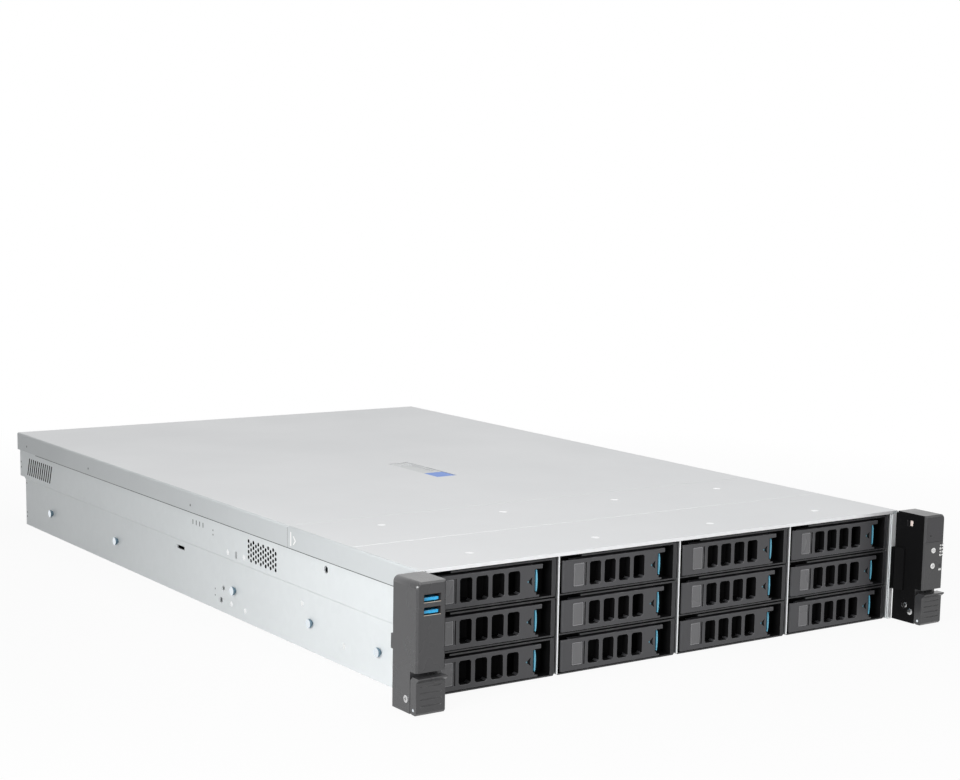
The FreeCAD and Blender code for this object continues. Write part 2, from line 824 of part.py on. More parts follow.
def carrier_lever():
    """The swing-out lever: a hollow moulding with four vents, an inset panel and two hooks."""
    y0 = face_set_back
    z0 = lever_bottom
    z1 = lever_top
    behind = y0 + lever_plate
    back = y0 + lever_depth
    body = block(lever_hollow_start, lever_right, y0, back, z0, z1)
    heel = block(lever_left, lever_hollow_start, y0, behind, z0, z1)
    corner = edges_along(heel, (0, 0, 1), lambda p: p.x < lever_pin_x and p.y < behind - lever_plate / 2)
    heel = heel.makeChamfer(lever_heel_chamfer, corner)
    hooks = [block(lever_right, lever_right + hook_reach, y0, behind, z1 - hook_height, z1),
             block(lever_right, lever_right + hook_reach / 2, y0, behind, z0, z0 + hook_height / 2)]
    knuckle = block(lever_pin_x - knuckle_half_width, lever_pin_x + knuckle_half_width, behind, back,
                    knuckle_low, knuckle_high)
    hollow = block(lever_hollow_start - sheet, vent_left - vent_post, behind, back + sheet,
                   z0 + lever_flange, z1 - lever_flange)
    vents = [vent_tool(vent_left + step * vent_pitch) for step in range(vents_per_lever)]
    inset = block(inset_left, inset_left + inset_width, y0 - sheet, y0 + inset_depth, vent_low, vent_high)
    groove = block(groove_left, groove_left + groove_width, y0 - sheet, y0 + lever_plate / 2,
                   vent_low, vent_high)
    tools = [hollow, inset, groove] + release_clearance() + vents
    bore = faceted_bore((lever_pin_x, lever_pin_y, z0), (0, 0, 1), lever_pin_radius, z1 - z0)
    return fused(fused(body, heel, *hooks).cut(tools), knuckle).cut(bore)


def release_clearance():
    """The pocket and the front notch that the release strip moves in."""
    low = lever_middle - release_half - release_gap
    high = lever_middle + release_half + release_gap
    behind = face_set_back + lever_plate
    room = release_travel + release_gap
    pocket = block(release_right - release_width - room, lever_right + sheet, behind,
                   face_set_back + lever_depth + sheet, low, high)
    notch = block(release_right - release_lip - room, lever_right + sheet,
                  face_set_back - sheet, behind, low, high)
    return [pocket, notch]


def carrier_release():
    """The bowed finger strip that lets the lever go when it is pushed to the left."""
    y0 = face_set_back + lever_plate + release_gap
    lip_y = face_set_back + release_lip_set_back
    steps = (-1.0, -0.5, 0.0, 0.5, 1.0)
    rim = [(release_right - release_bow * step ** 2, lever_middle + release_half * step) for step in steps]

    def strip(left, front, depth):
        outline = [(left, lever_middle - release_half)] + rim + [(left, lever_middle + release_half)]
        return prism([(x, front, z) for x, z in outline], (0, depth, 0))

    return fused(strip(release_right - release_width, y0, release_depth),
                 strip(release_right - release_lip, lip_y, y0 - lip_y + release_depth / 2))


# ---------------------------------------------------------------- rack ears
def ear_block():
    """The right-hand ear: a moulded block with a side tab, before its own cut-outs."""
    body = block(ear_inner, ear_outer, -ear_front, -ear_back, ear_bottom, body_height)
    corner = edges_along(body, (0, 1, 0), lambda p: p.x > ear_outer - sheet and p.z > body_height - sheet)
    body = body.makeFillet(ear_corner, corner)
    body = body.makeChamfer(ear_edge, edges_along(body, (0, 0, 1), lambda p: p.y < sheet - ear_front))
    tab = block(wall_x, wall_x + bend_radius, -ear_back - sheet, ear_tab_length,
                band_step_height + ear_tab_rise, flange_bottom - ear_tab_drop)
    web = block(ear_inner, ear_inner + ear_web, -ear_back - sheet, -seat_gap,
                ear_bottom, body_height - ear_edge)
    hook = block(ear_outer - rack_hook_set_in - rack_hook_width, ear_outer - rack_hook_set_in,
                 -ear_back - sheet, rack_hook_reach - ear_back, *rack_hook_heights)
    recess = block(ear_inner - sheet, ear_outer + sheet, -ear_front - sheet, -ear_front + ear_lever_cheek,
                   -sheet, ear_lever_top + ear_lever_gap)
    rack_hole = rod((rack_hole_x, -ear_front, rack_hole_height), (0, 1, 0), rack_hole_radius, ear_front)
    back, height, radius, depth = ear_screw_hole
    screw_hole = faceted_rod((ear_inner - sheet, -back, height), (1, 0, 0), radius, depth + sheet)
    post_left = ear_inner + ear_lever_cheek_thickness + ear_lever_back_gap
    post_right = ear_outer - ear_lever_cheek_thickness - ear_lever_back_gap
    post = block(post_left, post_right, ear_pin_y, -ear_front + ear_lever_cheek + ear_edge,
                 ear_pin_height - ear_post_half, ear_pin_height + ear_post_half)
    nose = hexagon(ear_pin_y, ear_pin_height, ear_post_radius, post_left, post_right)
    pin_bore = faceted_rod((ear_inner, ear_pin_y, ear_pin_height), (1, 0, 0), ear_pin_radius, ear_width)
    body = fused(body.cut(recess), tab, web, hook, post, nose)
    return body.cut([rack_hole, pin_bore, screw_hole])


def left_ear():
    tools = [block(usb_x - usb_width / 2, usb_x + usb_width / 2, -ear_front - sheet,
                   -ear_front + usb_depth + seat_gap, height - usb_height / 2, height + usb_height / 2)
             for height in usb_heights]
    return mirrored(ear_block().cut(tools))


def right_ear():
    tools = [rod((button_x, -ear_front - sheet, height), (0, 1, 0), button_radius + button_clearance,
                 button_length + button_travel + 2 * sheet) for height in (power_height, id_height)]
    tools.append(block(status_x - status_width / 2, status_x + status_width / 2,
                       -ear_front - sheet, -ear_front + status_depth,
                       status_height - status_tall / 2, status_height + status_tall / 2))
    tools.append(block(ear_inner + panel_margin, ear_outer - panel_margin / 2, -ear_front - sheet,
                       -ear_front + panel_depth, body_height - panel_drop, body_height - panel_margin))
    near, far = side_window_back
    high, low = side_window_drop
    tools.append(block(ear_inner - sheet, ear_inner + side_window_depth, -far, -near,
                       body_height - low, body_height - high))
    return ear_block().cut(tools)


def cable_cover():
    """The guard over the panel cable, in the corner between the right ear and the chassis."""
    x0 = ear_inner - cable_cover_width
    corners = [(x0, -seat_gap, cable_cover_bottom), (ear_inner, -seat_gap, cable_cover_bottom),
               (ear_inner, -cable_cover_reach, cable_cover_bottom),
               (ear_inner - cable_cover_nose, -cable_cover_reach, cable_cover_bottom),
               (x0, -cable_cover_width, cable_cover_bottom)]
    height = body_height - cable_cover_drop - cable_cover_bottom
    backs = [-(step + 1) * cable_cover_slit_pitch / 2 for step in range(cable_cover_slits)]
    slits = [block(x0 - sheet, x0 + cable_cover_slit, back - cable_cover_slit, back,
                   cable_cover_bottom - sheet, body_height) for back in backs]
    return prism(corners, (0, 0, height)).cut(slits)


def ear_lever():
    """The right-hand thumb lever: ribbed plate, lip and two cheeks on the hinge pin."""
    y0 = -ear_front
    y1 = y0 + ear_lever_cheek - ear_lever_back_gap
    z0 = ear_bottom
    z1 = ear_lever_top
    heel_y, heel_z = ear_lever_heel
    turns = [math.radians(turn) for turn in ear_lever_tail_turns]
    tail = [(ear_pin_y + ear_lever_tail_radius * math.cos(turn),
             ear_pin_height + ear_lever_tail_radius * math.sin(turn)) for turn in turns]
    outline = [(y0 + heel_y, z0)] + tail + [(y1, ear_pin_height), (y1, z1 - ear_lever_shoulder),
                                            (y1 - ear_lever_shoulder, z1), (y0, z1), (y0, z0 + heel_z)]
    lip_outline = [(y0 + ear_lever_lip_embed, z1), (y0 - ear_lever_lip, z1),
                   (y0 - ear_lever_lip, z1 - ear_lever_lip_edge),
                   (y0 + ear_lever_lip_embed, z1 - ear_lever_lip_root)]
    body, lip = [prism([(ear_inner, y, z) for y, z in corners], (ear_width, 0, 0))
                 for corners in (outline, lip_outline)]
    inside = block(ear_inner + ear_lever_cheek_thickness, ear_outer - ear_lever_cheek_thickness,
                   y0 + ear_lever_plate, y1 + sheet, z0 - sheet, z1 - ear_lever_ceiling)
    lows = [grip_first + step * grip_pitch for step in range(grip_ribs)]
    grips = [block(ear_inner + grip_margin, ear_outer - grip_margin, y0 - grip_depth, y0 + grip_depth,
                   low, low + grip_width) for low in lows]
    bore = faceted_bore((ear_inner - sheet, ear_pin_y, ear_pin_height), (1, 0, 0), ear_pin_radius,
                        ear_width + 2 * sheet)
    return fused(body, lip).cut([inside, bore] + grips)


def ear_pin():
    return faceted_rod((ear_inner + ear_pin_end, ear_pin_y, ear_pin_height), (1, 0, 0), ear_pin_radius,
                       ear_width - 2 * ear_pin_end)


def cross_pin_heads():
    """The two domed ends of the latch's cross pin, flat against the ear's sides."""
    return [faceted_rod((x, cross_pin_y, cross_pin_height), (1, 0, 0), cross_pin_radius, cross_pin_head)
            for x in (ear_inner - cross_pin_head, ear_outer)]


# ---------------------------------------------------------------- ports, buttons and lights
def usb_ports():
    pieces = []
    half_w = usb_width / 2
    half_h = usb_height / 2
    y0 = -ear_front
    y1 = y0 + usb_depth - usb_back
    for height in usb_heights:
        floor = height - half_h + usb_shell
        shell = block(usb_x - half_w, usb_x + half_w, y0, y0 + usb_depth, height - half_h, height + half_h)
        hollow = block(usb_x - half_w + usb_shell, usb_x + half_w - usb_shell, y0 - sheet, y1,
                       floor, height + half_h - usb_shell)
        low = floor + usb_tongue_rise
        tongue = block(usb_x - usb_tongue_width / 2, usb_x + usb_tongue_width / 2,
                       y0 + usb_tongue_set_back, y1, low, low + usb_tongue_height)
        pieces += [mirrored(shell.cut(hollow)), mirrored(tongue)]
    return pieces


def button(height):
    """A round push button."""
    return rod((button_x, -ear_front - button_proud, height), (0, 1, 0), button_radius, button_length)


def status_lights():
    return block(status_x - status_width / 2, status_x + status_width / 2, -ear_front - 0.1,
                 -ear_front + status_depth, status_height - status_tall / 2, status_height + status_tall / 2)


# ---------------------------------------------------------------- backplane and fans
def backplane():
    """The drive board with one connector for each bay and gaps that let air through."""
    y0 = backplane_y
    half = cage_half
    board = block(-half, half, y0, y0 + backplane_thickness, sheet + seat_gap, wall_top - 2 * sheet)
    gaps = []
    plugs = []
    left, right, low, high = backplane_gap
    for number in range(columns * rows):
        x, z = bay_origin(number)
        gaps.append(block(x + left, x + right, y0 - sheet, y0 + 2 * backplane_thickness, z + low, z + high))
        plugs.append(block(x + connector_left, x + connector_left + connector_width, drive_end + seat_gap, y0,
                           z + connector_low, z + connector_low + connector_height))
    return [board.cut(gaps)] + plugs


def fan_centre(index):
    return (index - (fan_count - 1) / 2) * fan_pitch


def fan_housing(index):
    """A square fan frame with a round duct and a three-armed motor mount at the rear."""
    x = fan_centre(index)
    z = fan_centre_height
    half = fan_size / 2
    y1 = fan_front + fan_depth
    mount_y = y1 - fan_boss_length
    frame = block(x - half, x + half, fan_front, y1, z - half, z + half)
    frame = frame.cut(rod((x, fan_front - sheet, z), (0, 1, 0), fan_bore, fan_depth + 2 * sheet))
    boss = faceted_rod((x, mount_y, z), (0, 1, 0), fan_boss_radius, fan_boss_length)
    shaft = faceted_rod((x, mount_y - fan_hub_length, z), (0, 1, 0), fan_shaft_radius,
                        fan_hub_length + fan_boss_length / 2)
    arms = [block(x - fan_strut / 2, x + fan_strut / 2, mount_y, y1, z, z + fan_bore + sheet).rotate(
        vec(x, y1, z), vec(0, 1, 0), 120 * arm) for arm in range(3)]
    return fused(frame, boss, shaft, *arms)


def fan_wall():
    """The sheet wall that the fans stand behind."""
    y1 = fan_front - seat_gap
    half = wall_x - sheet - fan_wall_end_gap
    wall = block(-half, half, y1 - fan_wall_sheet, y1, sheet, wall_top - 2 * sheet)
    reach = fan_bore - fan_wall_lap
    holes = [block(fan_centre(index) - reach, fan_centre(index) + reach, y1 - 2 * sheet, y1 + sheet,
                   fan_centre_height - reach, fan_centre_height + reach) for index in range(fan_count)]
    return wall.cut(holes)


def fan_rotor(index):
    """A hub with slanted blades that turns on the housing's shaft."""
    x = fan_centre(index)
    z = fan_centre_height
    y1 = fan_front + fan_depth - fan_boss_length - fan_boss_gap
    y0 = y1 - fan_hub_length
    middle = (y0 + y1) / 2
    hub = faceted_rod((x, y0, z), (0, 1, 0), fan_hub_radius, fan_hub_length, 2 * fan_blades)
    reach = fan_hub_length / 2 - fan_blade_inset
    half = fan_blade_thickness / 2
    blades = []
    for blade in range(fan_blades):
        plate = block(x - reach, x + reach, middle - half, middle + half,
                      z + fan_hub_radius - fan_blade_embed, z + fan_blade_radius)
        plate = plate.rotate(vec(x, middle, z), vec(0, 0, 1), fan_blade_pitch_angle)
        blades.append(plate.rotate(vec(x, middle, z), vec(0, 1, 0), 360 * blade / fan_blades))
    rotor = fused(hub, *blades)
    return rotor.cut(faceted_bore((x, y0 - 1, z), (0, 1, 0), fan_shaft_radius, fan_hub_length + 2))


# ---------------------------------------------------------------- mainboard and heat sinks
def jack_places():
    """The left edge of every network jack."""
    return [port_row_left + jack * jack_pitch for jack in range(network_jacks)]


def jack_block():
    """The row of network jacks, one moulding with a square cavity for each plug."""
    y1 = lower_band_depth + jack_proud
    inner_y = lower_band_depth - sheet - port_gap
    z1 = board_top + jack_height
    body = block(port_row_left, jack_places()[-1] + jack_width, y1 - jack_depth, inner_y, board_top, z1)
    noses = [block(x, x + jack_width, inner_y - sheet, y1, board_top, z1) for x in jack_places()]
    wide, tall = jack_opening
    low = board_top + jack_opening_low
    rim = (jack_width - wide) / 2
    cavities = [block(x + rim, x + rim + wide, y1 - jack_cavity, y1 + sheet, low, low + tall)
                for x in jack_places()]
    return fused(body, *noses).cut(cavities)


def memory_positions():
    """The middle of every memory module: a group on both sides of each processor."""
    places = []
    for x in socket_x:
        for side in (-1, 1):
            start = x + side * (sink_size / 2 + memory_clear)
            places += [start + side * step * memory_pitch for step in range(memory_per_side)]
    return sorted(places)


def standoff(x, y):
    """A hexagonal stand-off between the chassis floor and the board."""
    turns = [math.radians(60 * step) for step in range(6)]
    corners = [(x + standoff_radius * math.cos(turn), y + standoff_radius * math.sin(turn), sheet)
               for turn in turns]
    return prism(corners, (0, 0, board_height - sheet))


def mainboard():
    """The board on its stand-offs with processor sockets, memory modules and rear ports."""
    pieces = [block(board_left, board_right, board_front, board_rear, board_height, board_top)]
    middle_x = (board_left + board_right) / 2
    middle_y = (board_front + board_rear) / 2
    for x in (board_left + standoff_inset, middle_x, board_right - standoff_inset):
        for y in (board_front + standoff_inset, middle_y, board_rear - standoff_rear_inset):
            pieces.append(standoff(x, y))
    half = socket_size / 2
    for x in socket_x:
        pieces.append(block(x - half, x + half, socket_y - half, socket_y + half,
                            board_top, board_top + socket_thickness))
    for x in memory_positions():
        pieces.append(block(x - memory_thickness / 2, x + memory_thickness / 2, socket_y - memory_length / 2,
                            socket_y + memory_length / 2, board_top, board_top + memory_height))
    pieces.append(jack_block())
    y1 = lower_band_depth + port_proud
    for inset, width, height, depth in (screen_port, stacked_port):
        x = board_left + inset
        pieces.append(block(x, x + width, y1 - depth, y1, board_top, board_top + height))
    return pieces


def heat_sink(x):
    """A copper-coloured base with a comb of upright fins that run with the air."""
    half = sink_size / 2
    z0 = board_top + socket_thickness
    base = block(x - half, x + half, socket_y - half, socket_y + half, z0, z0 + sink_base)
    pitch = (sink_size - sink_fin_thickness) / (sink_fins - 1)
    fins = [block(x - half + step * pitch, x - half + step * pitch + sink_fin_thickness, socket_y - half,
                  socket_y + half, z0 + sink_base, sink_top) for step in range(sink_fins)]
    return fused(base, *fins)


# ---------------------------------------------------------------- power supplies
def power_supply(level):
    """A plug-in supply with a recessed inlet, vents, a loop handle and a release tab at the rear."""
    z0 = supply_bottoms[level]
    z1 = z0 + supply_height
    y1 = supply_rear
    body = block(supply_left, supply_right, y1 - supply_length, y1, z0, z1)
    middle = (z0 + z1) / 2
    inlet_x = supply_right - inlet_margin - inlet_width
    inlet = block(inlet_x, inlet_x + inlet_width, y1 - inlet_depth, y1 + sheet,
                  middle - inlet_height / 2, middle + inlet_height / 2)
    starts = [supply_left + supply_vent_first + step * supply_vent_pitch for step in range(supply_vents)]
    vents = [block(start, start + supply_vent_width, y1 - supply_vent_depth, y1 + sheet,
                   z0 + supply_vent_low, z1 - supply_vent_high) for start in starts]
    body = body.cut([inlet] + vents)
    hx = supply_left + supply_handle_margin
    rear = y1 + supply_handle_reach
    bar = supply_handle_bar
    hz = z1 - supply_handle_margin - supply_handle_height
    loop = block(hx, hx + supply_handle_width, y1, rear, hz, hz + supply_handle_height)
    hole = block(hx + bar, hx + supply_handle_width - bar, y1 + bar, rear - bar,
                 hz - bar, hz + supply_handle_height + bar)
    gap, thickness, reach = supply_tab
    low, high = supply_tab_heights
    tab_x = hx + supply_handle_width + gap
    tab = block(tab_x, tab_x + thickness, y1, y1 + reach, middle + low, middle + high)
    return fused(body, loop.cut(hole), tab)


# ---------------------------------------------------------------- fasteners
def rail_stud(y):
    shank = hexagon(y, stud_height, stud_shank_radius, band_x, band_x + stud_shank_length)
    head = faceted_rod((band_x + stud_shank_length, y, stud_height), (1, 0, 0),
                       stud_head_radius, stud_head_length)
    return fused(shank, head)


def fasteners():
    studs = [rail_stud(y) for y in stud_positions]
    pins = cross_pin_heads() + [ear_pin()]
    right = studs + pins
    return right + [mirrored(piece) for piece in right]


# ---------------------------------------------------------------- the whole server
def server_nodes():
    nodes = {
        "chassis_base": [chassis_base()],
        "drive_cage": [drive_cage()],
        "front_cover": [front_cover()],
        "rear_cover": rear_cover() + [latch_pin()],
        "cover_latch": cover_latch(),
        "rear_wall": [rear_wall(), supply_cage()] + slot_covers(),
        "left_ear": [left_ear()],
        "right_ear": [right_ear(), cable_cover()],
        "left_ear_lever": [mirrored(ear_lever())],
        "right_ear_lever": [ear_lever()],
        "usb_ports": usb_ports(),
        "power_button": [button(power_height)],
        "id_button": [button(id_height)],
        "status_lights": [status_lights()],
        "backplane": backplane(),
        "fan_housings": [fan_wall()] + [fan_housing(index) for index in range(fan_count)],
        "mainboard": mainboard(),
        "heatsinks": [heat_sink(x) for x in socket_x],
        "power_supply_1": [power_supply(0)],
        "power_supply_2": [power_supply(1)],
        "fasteners": fasteners(),
    }
    for index in range(fan_count):
        nodes["fan_rotor_%d" % (index + 1)] = [fan_rotor(index)]
    carrier = [carrier_tray(), drive()]
    lever = carrier_lever()
    release = carrier_release()
    for number in range(columns * rows):
        x, z = bay_origin(number)
        move = vec(x, 0, z)
        name = number + 1
        nodes["carrier_%d" % name] = [piece.translated(move) for piece in carrier]
        nodes["carrier_lever_%d" % name] = [lever.translated(move)]
        nodes["carrier_release_%d" % name] = [release.translated(move)]
    return nodes


def write_parts():
    os.makedirs("parts", exist_ok=True)
    centre = vec(0, -footprint_middle, 0)
    for name, pieces in server_nodes().items():
        solids = [solid.translated(centre) for piece in pieces for solid in piece.Solids]
        shape = solids[0] if len(solids) == 1 else Part.makeCompound(solids)
        shape.exportStep("parts/%s.step" % name)


if __name__ == "__main__":
    write_parts()
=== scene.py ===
import math
import random

import bmesh
import bpy
from mathutils import Matrix, Vector


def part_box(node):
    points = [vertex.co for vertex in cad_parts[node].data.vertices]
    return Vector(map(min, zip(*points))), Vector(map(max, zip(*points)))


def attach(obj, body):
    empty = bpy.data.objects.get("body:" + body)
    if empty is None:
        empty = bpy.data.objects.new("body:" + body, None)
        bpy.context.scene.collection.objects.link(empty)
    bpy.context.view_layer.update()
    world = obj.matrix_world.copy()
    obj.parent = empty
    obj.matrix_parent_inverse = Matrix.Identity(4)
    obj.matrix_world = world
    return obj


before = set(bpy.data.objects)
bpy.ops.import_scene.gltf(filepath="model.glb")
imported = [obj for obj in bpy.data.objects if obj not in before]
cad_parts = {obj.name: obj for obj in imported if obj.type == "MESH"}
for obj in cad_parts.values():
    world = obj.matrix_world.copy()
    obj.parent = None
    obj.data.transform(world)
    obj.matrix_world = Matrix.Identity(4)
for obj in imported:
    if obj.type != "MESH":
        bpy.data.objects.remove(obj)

bl_info = {
    "name": "Rack server dressing",
    "version": (1, 0, 0),
    "blender": (4, 5, 0),
    "location": "View3D > Sidebar > Server",
    "description": "Finishes and small parts for a two-unit rack server",
    "category": "Object",
}

MM = 0.001
BAYS = range(1, 13)
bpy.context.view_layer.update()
PIECE_SHARP, NODE_SHARP = 32, 40  # degrees an edge turns by before it counts as sharp
FLOOR_REACH, FLOOR_DROP = 6.0, 0.0004
LOWER_BAND, UPPER_BAND = 2.3, 1.3  # how far in from the covers' flanges the side wall's two bands lie, in mm
BOARD_RISE = 7.6 * MM  # the board's upper face above the foot of its stand-offs
# Across and up, for flat pieces on the front, the rear and the left side.
FRONT = ((1, 0, 0), (0, 0, 1))
REAR = ((-1, 0, 0), (0, 0, 1))
LEFT = ((0, -1, 0), (0, 0, 1))


# ------------------------------------------------------------------ places taken from the frame
def low(node):
    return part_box(node)[0]


def high(node):
    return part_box(node)[1]


def middle(node):
    lo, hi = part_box(node)
    return (lo + hi) / 2


TOP = high("rear_cover").z
LEFT_WALL = low("chassis_base").x
SHEET_FRONT = low("chassis_base").y
EAR_FRONT = low("usb_ports").y


def behind_front(depth):
    """The Y of a place this many millimetres behind the front of the sheet metal."""
    return SHEET_FRONT + depth * MM


# ------------------------------------------------------------------ settings
class ServerStageSettings(bpy.types.PropertyGroup):
    """Where the camera stands and how strong the lamps are."""

    camera_place: bpy.props.FloatVectorProperty(
        name="Camera place", description="Where the camera stands", subtype="TRANSLATION",
        unit="LENGTH", default=(-0.849, -1.3383, 0.342))
    camera_turn: bpy.props.FloatProperty(
        name="Camera turn", description="Angle to the right of straight ahead", subtype="ANGLE",
        default=math.radians(36.04))
    camera_tilt: bpy.props.FloatProperty(
        name="Camera tilt", description="Angle above the horizon", subtype="ANGLE",
        default=math.radians(-8.5))
    camera_roll: bpy.props.FloatProperty(
        name="Camera roll", description="Lean about the line of sight", subtype="ANGLE",
        default=math.radians(1.22))
    camera_lens: bpy.props.FloatProperty(
        name="Lens", description="Focal length for a 36 mm sensor", default=69.75, subtype="DISTANCE_CAMERA")
    camera_shift: bpy.props.FloatProperty(
        name="Shift", description="Sideways and upward shift of the picture", default=0.0625)
    key_power: bpy.props.FloatProperty(
        name="Overhead power", description="Power of the overhead softbox", default=32.0, unit="POWER")
    side_power: bpy.props.FloatProperty(
        name="Side power", description="Power of the softbox to the left of the server", default=2.6,
        unit="POWER")
    front_power: bpy.props.FloatProperty(
        name="Front power", description="Power of the softbox in front", default=12.0, unit="POWER")
    world_strength: bpy.props.FloatProperty(
        name="Room light", description="Strength of the even room light", default=0.20)
    floor_colour: bpy.props.FloatVectorProperty(
        name="Floor colour", description="Colour of the floor", subtype="COLOR", size=4,
        default=(0.62, 0.62, 0.62, 1.0))


class ServerFinishSettings(bpy.types.PropertyGroup):
    """The colours that set the server's look."""

    cover_steel: bpy.props.FloatVectorProperty(
        name="Cover steel", description="Colour of the top covers", subtype="COLOR", size=4,
        default=(0.69, 0.70, 0.71, 1.0))
    chassis_steel: bpy.props.FloatVectorProperty(
        name="Chassis steel", description="Colour of the zinc plated chassis", subtype="COLOR", size=4,
        default=(0.68, 0.71, 0.72, 1.0))
    ear_plastic: bpy.props.FloatVectorProperty(
        name="Ear plastic", description="Colour of the rack ears", subtype="COLOR", size=4,
        default=(0.036, 0.036, 0.038, 1.0))
    lever_plastic: bpy.props.FloatVectorProperty(
        name="Lever plastic", description="Colour of the carrier levers", subtype="COLOR", size=4,
        default=(0.048, 0.048, 0.052, 1.0))
    frame_plastic: bpy.props.FloatVectorProperty(
        name="Frame plastic", description="Colour of the carrier frames", subtype="COLOR", size=4,
        default=(0.018, 0.018, 0.020, 1.0))
    release_blue: bpy.props.FloatVectorProperty(
        name="Release strip", description="Colour of the release strips", subtype="COLOR", size=4,
        default=(0.12, 0.42, 0.58, 1.0))
    pad_blue: bpy.props.FloatVectorProperty(
        name="Latch pad", description="Colour of the cover latch's press pad", subtype="COLOR", size=4,
        default=(0.03, 0.17, 0.62, 1.0))
    port_blue: bpy.props.FloatVectorProperty(
        name="Port tongue", description="Colour of the front ports' tongues", subtype="COLOR", size=4,
        default=(0.015, 0.38, 0.74, 1.0))


class ServerDetailSettings(bpy.types.PropertyGroup):
    """Sizes of the small parts."""

    edge_round: bpy.props.FloatProperty(
        name="Edge rounding", description="Rounding of moulded edges", default=0.35 * MM, unit="LENGTH")
    sheet_round: bpy.props.FloatProperty(
        name="Sheet rounding", description="Rounding of cut sheet edges", default=0.15 * MM, unit="LENGTH")
    rivet_radius: bpy.props.FloatProperty(
        name="Rivet radius", description="Radius of the flush rivets in the covers", default=3.0 * MM,
        unit="LENGTH")
    mark_depth: bpy.props.FloatProperty(
        name="Inlay height", description="How far inlays stand proud", default=0.06 * MM, unit="LENGTH")


def stage_settings():
    return bpy.context.scene.server_stage


def finish_settings():
    return bpy.context.scene.server_finish


def detail_settings():
    return bpy.context.scene.server_detail


# ------------------------------------------------------------------ shader trees
def join(tree, value, socket):
    """Feeds a socket, by a link from another socket or with a plain value."""
    if isinstance(value, bpy.types.NodeSocket):
        tree.links.new(value, socket)
    else:
        socket.default_value = value


def add_node(tree, kind, feeds=None, **settings):
    """A new node with its settings, and what feeds its inputs, by their names or numbers."""
    made = tree.nodes.new("ShaderNode" + kind)
    for key, value in settings.items():
        setattr(made, key, value)
    for key, value in (feeds or {}).items():
        join(tree, value, made.inputs[key])
    return made


def new_group(name, inputs, outputs):
    """An empty shader node group with its named sockets, and the sockets of its two ends."""
    tree = bpy.data.node_groups.new(name, "ShaderNodeTree")
    for label, kind, default in inputs:
        made = tree.interface.new_socket(label, in_out="INPUT", socket_type="NodeSocket" + kind)
        made.default_value = default
    for label in outputs:
        tree.interface.new_socket(label, in_out="OUTPUT", socket_type="NodeSocketFloat")
    return tree, tree.nodes.new("NodeGroupInput").outputs, tree.nodes.new("NodeGroupOutput").inputs


def build_grain(name):
    """Fine surface grain: a height for bump and a slow mottling for colour and roughness."""
    tree, start, end = new_group(
        name, (("Grain scale", "Float", 900.0), ("Mottle scale", "Float", 12.0),
               ("Stretch", "Vector", (1.0, 1.0, 1.0))), ("Height", "Mottle"))
    place = add_node(tree, "TexCoord").outputs["Object"]
    stretch = add_node(tree, "VectorMath", {0: place, 1: start["Stretch"]}, operation="MULTIPLY")
    fine = add_node(tree, "TexNoise", {
        "Detail": 4.0, "Vector": stretch.outputs["Vector"], "Scale": start["Grain scale"]})
    slow = add_node(tree, "TexNoise", {"Detail": 3.0, "Vector": place, "Scale": start["Mottle scale"]})
    join(tree, fine.outputs["Fac"], end["Height"])
    join(tree, slow.outputs["Fac"], end["Mottle"])
    return tree


def build_wear_and_highlight(name):
    """Edges lightened by rubbing and by a painted highlight: bright where an edge is sharp, broken up by
    noise.
    """
    tree, start, end = new_group(
        name, (("Width", "Float", 0.0006), ("Breakup", "Float", 90.0), ("Amount", "Float", 0.6)), ("Mask",))
    rounded = add_node(tree, "Bevel", {"Radius": start["Width"]}, samples=3)
    flat = add_node(tree, "NewGeometry")
    turn = add_node(tree, "VectorMath", {0: rounded.outputs["Normal"], 1: flat.outputs["True Normal"]},
                    operation="DOT_PRODUCT")
    edge = add_node(tree, "MapRange", {"From Min": 0.995, "From Max": 0.90, "Value": turn.outputs["Value"]})
    place = add_node(tree, "TexCoord").outputs["Object"]
    noise = add_node(tree, "TexNoise", {"Detail": 5.0, "Vector": place, "Scale": start["Breakup"]})
    patches = add_node(tree, "MapRange", {"From Min": 0.42, "From Max": 0.62, "Value": noise.outputs["Fac"]})
    both = add_node(tree, "Math", {0: edge.outputs["Result"], 1: patches.outputs["Result"]},
                    operation="MULTIPLY")
    edge_wear_and_highlight = add_node(tree, "Math", {0: both.outputs["Value"], 1: start["Amount"]}, operation="MULTIPLY")
    join(tree, edge_wear_and_highlight.outputs["Value"], end["Mask"])
    return tree


def build_spangle(name):
    """The crystal pattern of zinc plating, as a soft mask."""
    tree, start, end = new_group(name, (("Scale", "Float", 160.0),), ("Mask",))
    place = add_node(tree, "TexCoord").outputs["Object"]
    cells = add_node(tree, "TexVoronoi", {"Vector": place, "Scale": start["Scale"]}, feature="F1")
    tone = add_node(tree, "SeparateColor", {"Color": cells.outputs["Color"]})
    join(tree, tone.outputs["Red"], end["Mask"])
    return tree


GROUPS = {"Surface grain": build_grain, "Edge wear": build_wear_and_highlight, "Zinc spangle": build_spangle}


